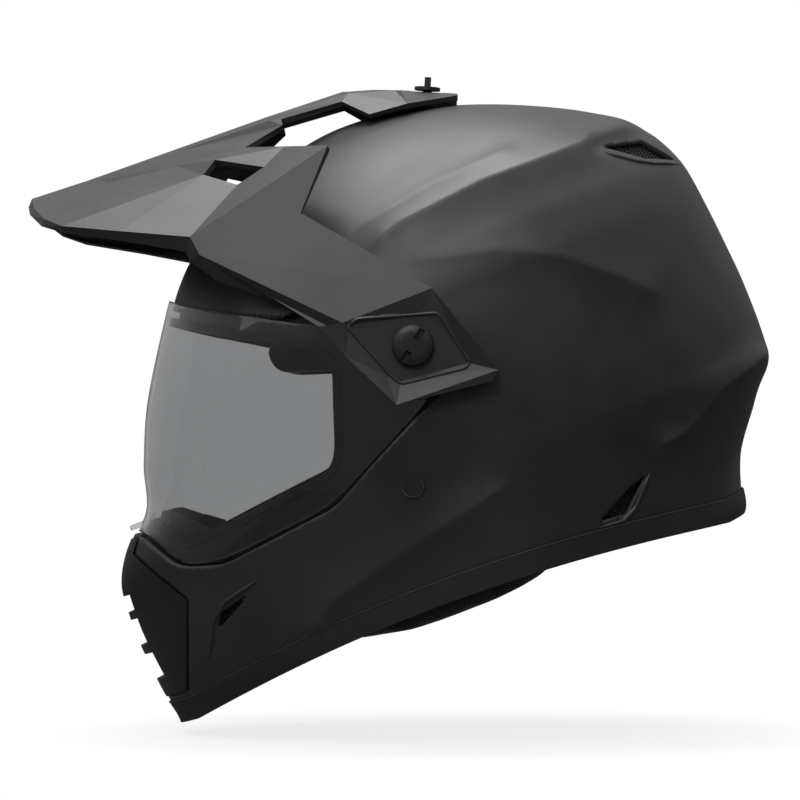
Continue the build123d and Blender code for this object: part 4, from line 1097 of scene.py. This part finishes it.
# coin-slotted heads of the peak's screws: radius, then depth under the head's top
HEAD_PROFILE = ((0.0060, 0.0004), (0.0084, 0.0007), (0.0097, 0.0014), (0.0104, 0.0026), (0.0105, 0.0050),
                (0.0105, 0.00515), (0.0040, 0.00515))
SHANK_RADIUS = 0.0040
NOTCH = ((0.0036, 0.0017), (0.0094, 0.0017), (0.0094, -0.0017), (0.0036, -0.0017))
NOTCH_DEPTH = 0.0028
NOTCH_OVERRUN = 0.002
NOTCH_TURN = math.radians(38.5)
ACROSS = Vector((0, 1, 0))
way = Vector((0, math.cos(NOTCH_TURN), math.sin(NOTCH_TURN)))
over = Vector((0, -way.z, way.y))
for side, word in SIDES:
    node = "peak_screw_" + word
    low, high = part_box(node)
    top, back = (high.x, low.x) if side > 0 else (-low.x, -high.x)
    profile = [(r, top - depth) for r, depth in HEAD_PROFILE] + [(SHANK_RADIUS, back)]
    bars = Bars()
    bars.add([oval(Vector((side * x, PIVOT_Y, PIVOT_Z)), ACROSS, UP, r, r, 72) for r, x in profile])
    head = bars.make("screw_head_" + word, "screw_plastic")
    tools = []
    for reach in (1, -1):
        tool = Bars()
        tool.add([[Vector((side * x, PIVOT_Y, PIVOT_Z)) + way * a * reach + over * b for a, b in NOTCH]
                  for x in (top - NOTCH_DEPTH, top + NOTCH_OVERRUN)])
        cutter = tool.make("cutter", "screw_plastic")
        modified(head, "BOOLEAN", operation="DIFFERENCE", solver="EXACT", object=cutter)
        tools.append(cutter)
    applied(head)
    for cutter in tools:
        bpy.data.objects.remove(cutter)
    bevelled(head, width=0.0002, angle=40)
    soften_shading(head, 30)
    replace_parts(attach(head, word + "_screw"), node)

# edges of carried-over parts: node, width
for name, width in (("peak", 0.0009), ("peak_top_screw", 0.0004), ("strap_rivets", 0.0004)):
    bevelled(frame["nodes"][name], width, 14).harden_normals = True

# floor, light, camera
PITCH = math.radians(20.5)
PICTURE_UP = Vector((0, math.sin(PITCH), math.cos(PITCH)))
PICTURE_RIGHT = Vector((0, math.cos(PITCH), -math.sin(PITCH)))
CENTRE = Vector((0, -0.00896, 0.1190))
CAMERA_AWAY = 2.0
VIEW_WIDTH = 0.42368
SENSOR = 36.0
CHIN = Vector((0, -0.176, -0.0035))
FLOOR_DROP = 0.003
FLOOR_SHIFT = 0.13
FLOOR_HALVES = (0.34, 0.27)


def build_floor():
    """Pale ground square to the picture's up, under the chin, which ends in plain white."""
    mesh = bpy.data.meshes.new("ground")
    mesh.from_pydata([(-1, -1, 0), (1, -1, 0), (1, 1, 0), (-1, 1, 0)], [], [(0, 1, 2, 3)])
    ground = linked("ground", mesh)
    foot = CHIN - PICTURE_UP * FLOOR_DROP + PICTURE_RIGHT * FLOOR_SHIFT
    axes = Matrix((Vector((1, 0, 0)), PICTURE_RIGHT, -PICTURE_UP)).transposed()
    ground.matrix_world = Matrix.Translation(foot) @ axes.to_4x4() @ Matrix.Diagonal((*FLOOR_HALVES, 1, 1))
    material, tree, bsdf = shader("ground_white", (0.95, 0.95, 0.95), roughness=0.9, specular=0.1)
    where = add_node(tree, "TexCoord")
    ball = add_node(tree, "VectorMath")
    ball.operation = "LENGTH"
    fade = add_node(tree, "MapRange", From_Min=0.50, From_Max=1.0, To_Min=0.80)
    fade.interpolation_type = "SMOOTHSTEP"
    path = add_node(tree, "LightPath")
    both = add_node(tree, "Math")
    both.operation = "MULTIPLY"
    see = add_node(tree, "BsdfTransparent")
    # pale to the camera, darker for the light that the helmet gets from it
    tint(tree, bsdf, path.outputs["Is Camera Ray"], (1, 1, 1), 0.16, 0.95)
    mix = add_node(tree, "MixShader")
    join = tree.links.new
    join(where.outputs["Object"], ball.inputs[0])
    join(ball.outputs["Value"], fade.inputs["Value"])
    join(fade.outputs["Result"], both.inputs[0])
    join(path.outputs["Is Camera Ray"], both.inputs[1])
    join(both.outputs[0], mix.inputs["Fac"])
    join(bsdf.outputs[0], mix.inputs[1])
    join(see.outputs[0], mix.inputs[2])
    join(mix.outputs[0], tree.nodes["Material Output"].inputs["Surface"])
    mesh.materials.append(material)


def light(name, towards, distance, size, power):
    """Soft square lamp that faces the middle of the helmet."""
    data = bpy.data.lights.new(name, "AREA")
    data.shape = "SQUARE"
    data.size = size
    data.energy = power
    data.transmission_factor = 0.0
    lamp = linked(name, data)
    lamp.location = CENTRE + towards.normalized() * distance
    lamp.rotation_mode = "QUATERNION"
    lamp.rotation_quaternion = (-towards).to_track_quat("-Z", "Y")


build_floor()
light("top_light", PICTURE_UP + Vector((-0.06, 0, 0)) + PICTURE_RIGHT * -0.12,
      distance=1.3, size=0.8, power=17)
light("side_light", Vector((0.80, 0, 0)) + PICTURE_UP * 0.58 + PICTURE_RIGHT * -0.18,
      distance=1.7, size=0.5, power=7)
light("front_light", PICTURE_UP * 0.9 + PICTURE_RIGHT * -1.0 + Vector((0.5, 0, 0)),
      distance=1.6, size=0.9, power=3)

world = bpy.data.worlds.new("studio")
bpy.context.scene.world = world
world.use_nodes = True
wt = world.node_tree
wt.nodes.clear()
out = add_node(wt, "OutputWorld")
seen = add_node(wt, "Background", Color=(1, 1, 1, 1), Strength=1.0)
fill = add_node(wt, "Background", Strength=1.0)
sky = add_node(wt, "TexCoord")
upward = add_node(wt, "VectorMath")
upward.operation = "DOT_PRODUCT"
upward.inputs[1].default_value = PICTURE_UP
grade = add_node(wt, "ValToRGB")
# the sky that the helmet sees: place from below to above, and grey level
SKY_SHARES = ((0.0, 0.06), (0.45, 0.08), (0.60, 0.24), (0.80, 0.60), (1.0, 1.0))
for k, (at, level) in enumerate(SKY_SHARES):
    point = grade.color_ramp.elements[k] if k < 2 else grade.color_ramp.elements.new(at)
    point.position = at
    point.color = (level, level, level, 1)
lift = add_node(wt, "MapRange", From_Min=-1.0, From_Max=1.0)
join = wt.links.new
join(sky.outputs["Generated"], upward.inputs[0])
join(upward.outputs["Value"], lift.inputs["Value"])
join(lift.outputs["Result"], grade.inputs["Fac"])
join(grade.outputs["Color"], fill.inputs["Color"])
path = add_node(wt, "LightPath")
plain = add_node(wt, "Math")
plain.operation = "MAXIMUM"
choose = add_node(wt, "MixShader")
join(path.outputs["Is Camera Ray"], plain.inputs[0])
join(path.outputs["Is Transmission Ray"], plain.inputs[1])
join(plain.outputs[0], choose.inputs["Fac"])
join(fill.outputs[0], choose.inputs[1])
join(seen.outputs[0], choose.inputs[2])
join(choose.outputs[0], out.inputs["Surface"])

camera_data = bpy.data.cameras.new("camera")
camera_data.lens = SENSOR * CAMERA_AWAY / VIEW_WIDTH
camera_data.sensor_width = SENSOR
camera_data.clip_end = 50.0
camera = linked("camera", camera_data)
turn = Matrix((PICTURE_RIGHT, PICTURE_UP, Vector((1, 0, 0)))).transposed()
camera.matrix_world = Matrix.Translation(CENTRE + Vector((CAMERA_AWAY, 0, 0))) @ turn.to_4x4()
bpy.context.scene.camera = camera
bpy.context.scene.view_settings.view_transform = "Standard"
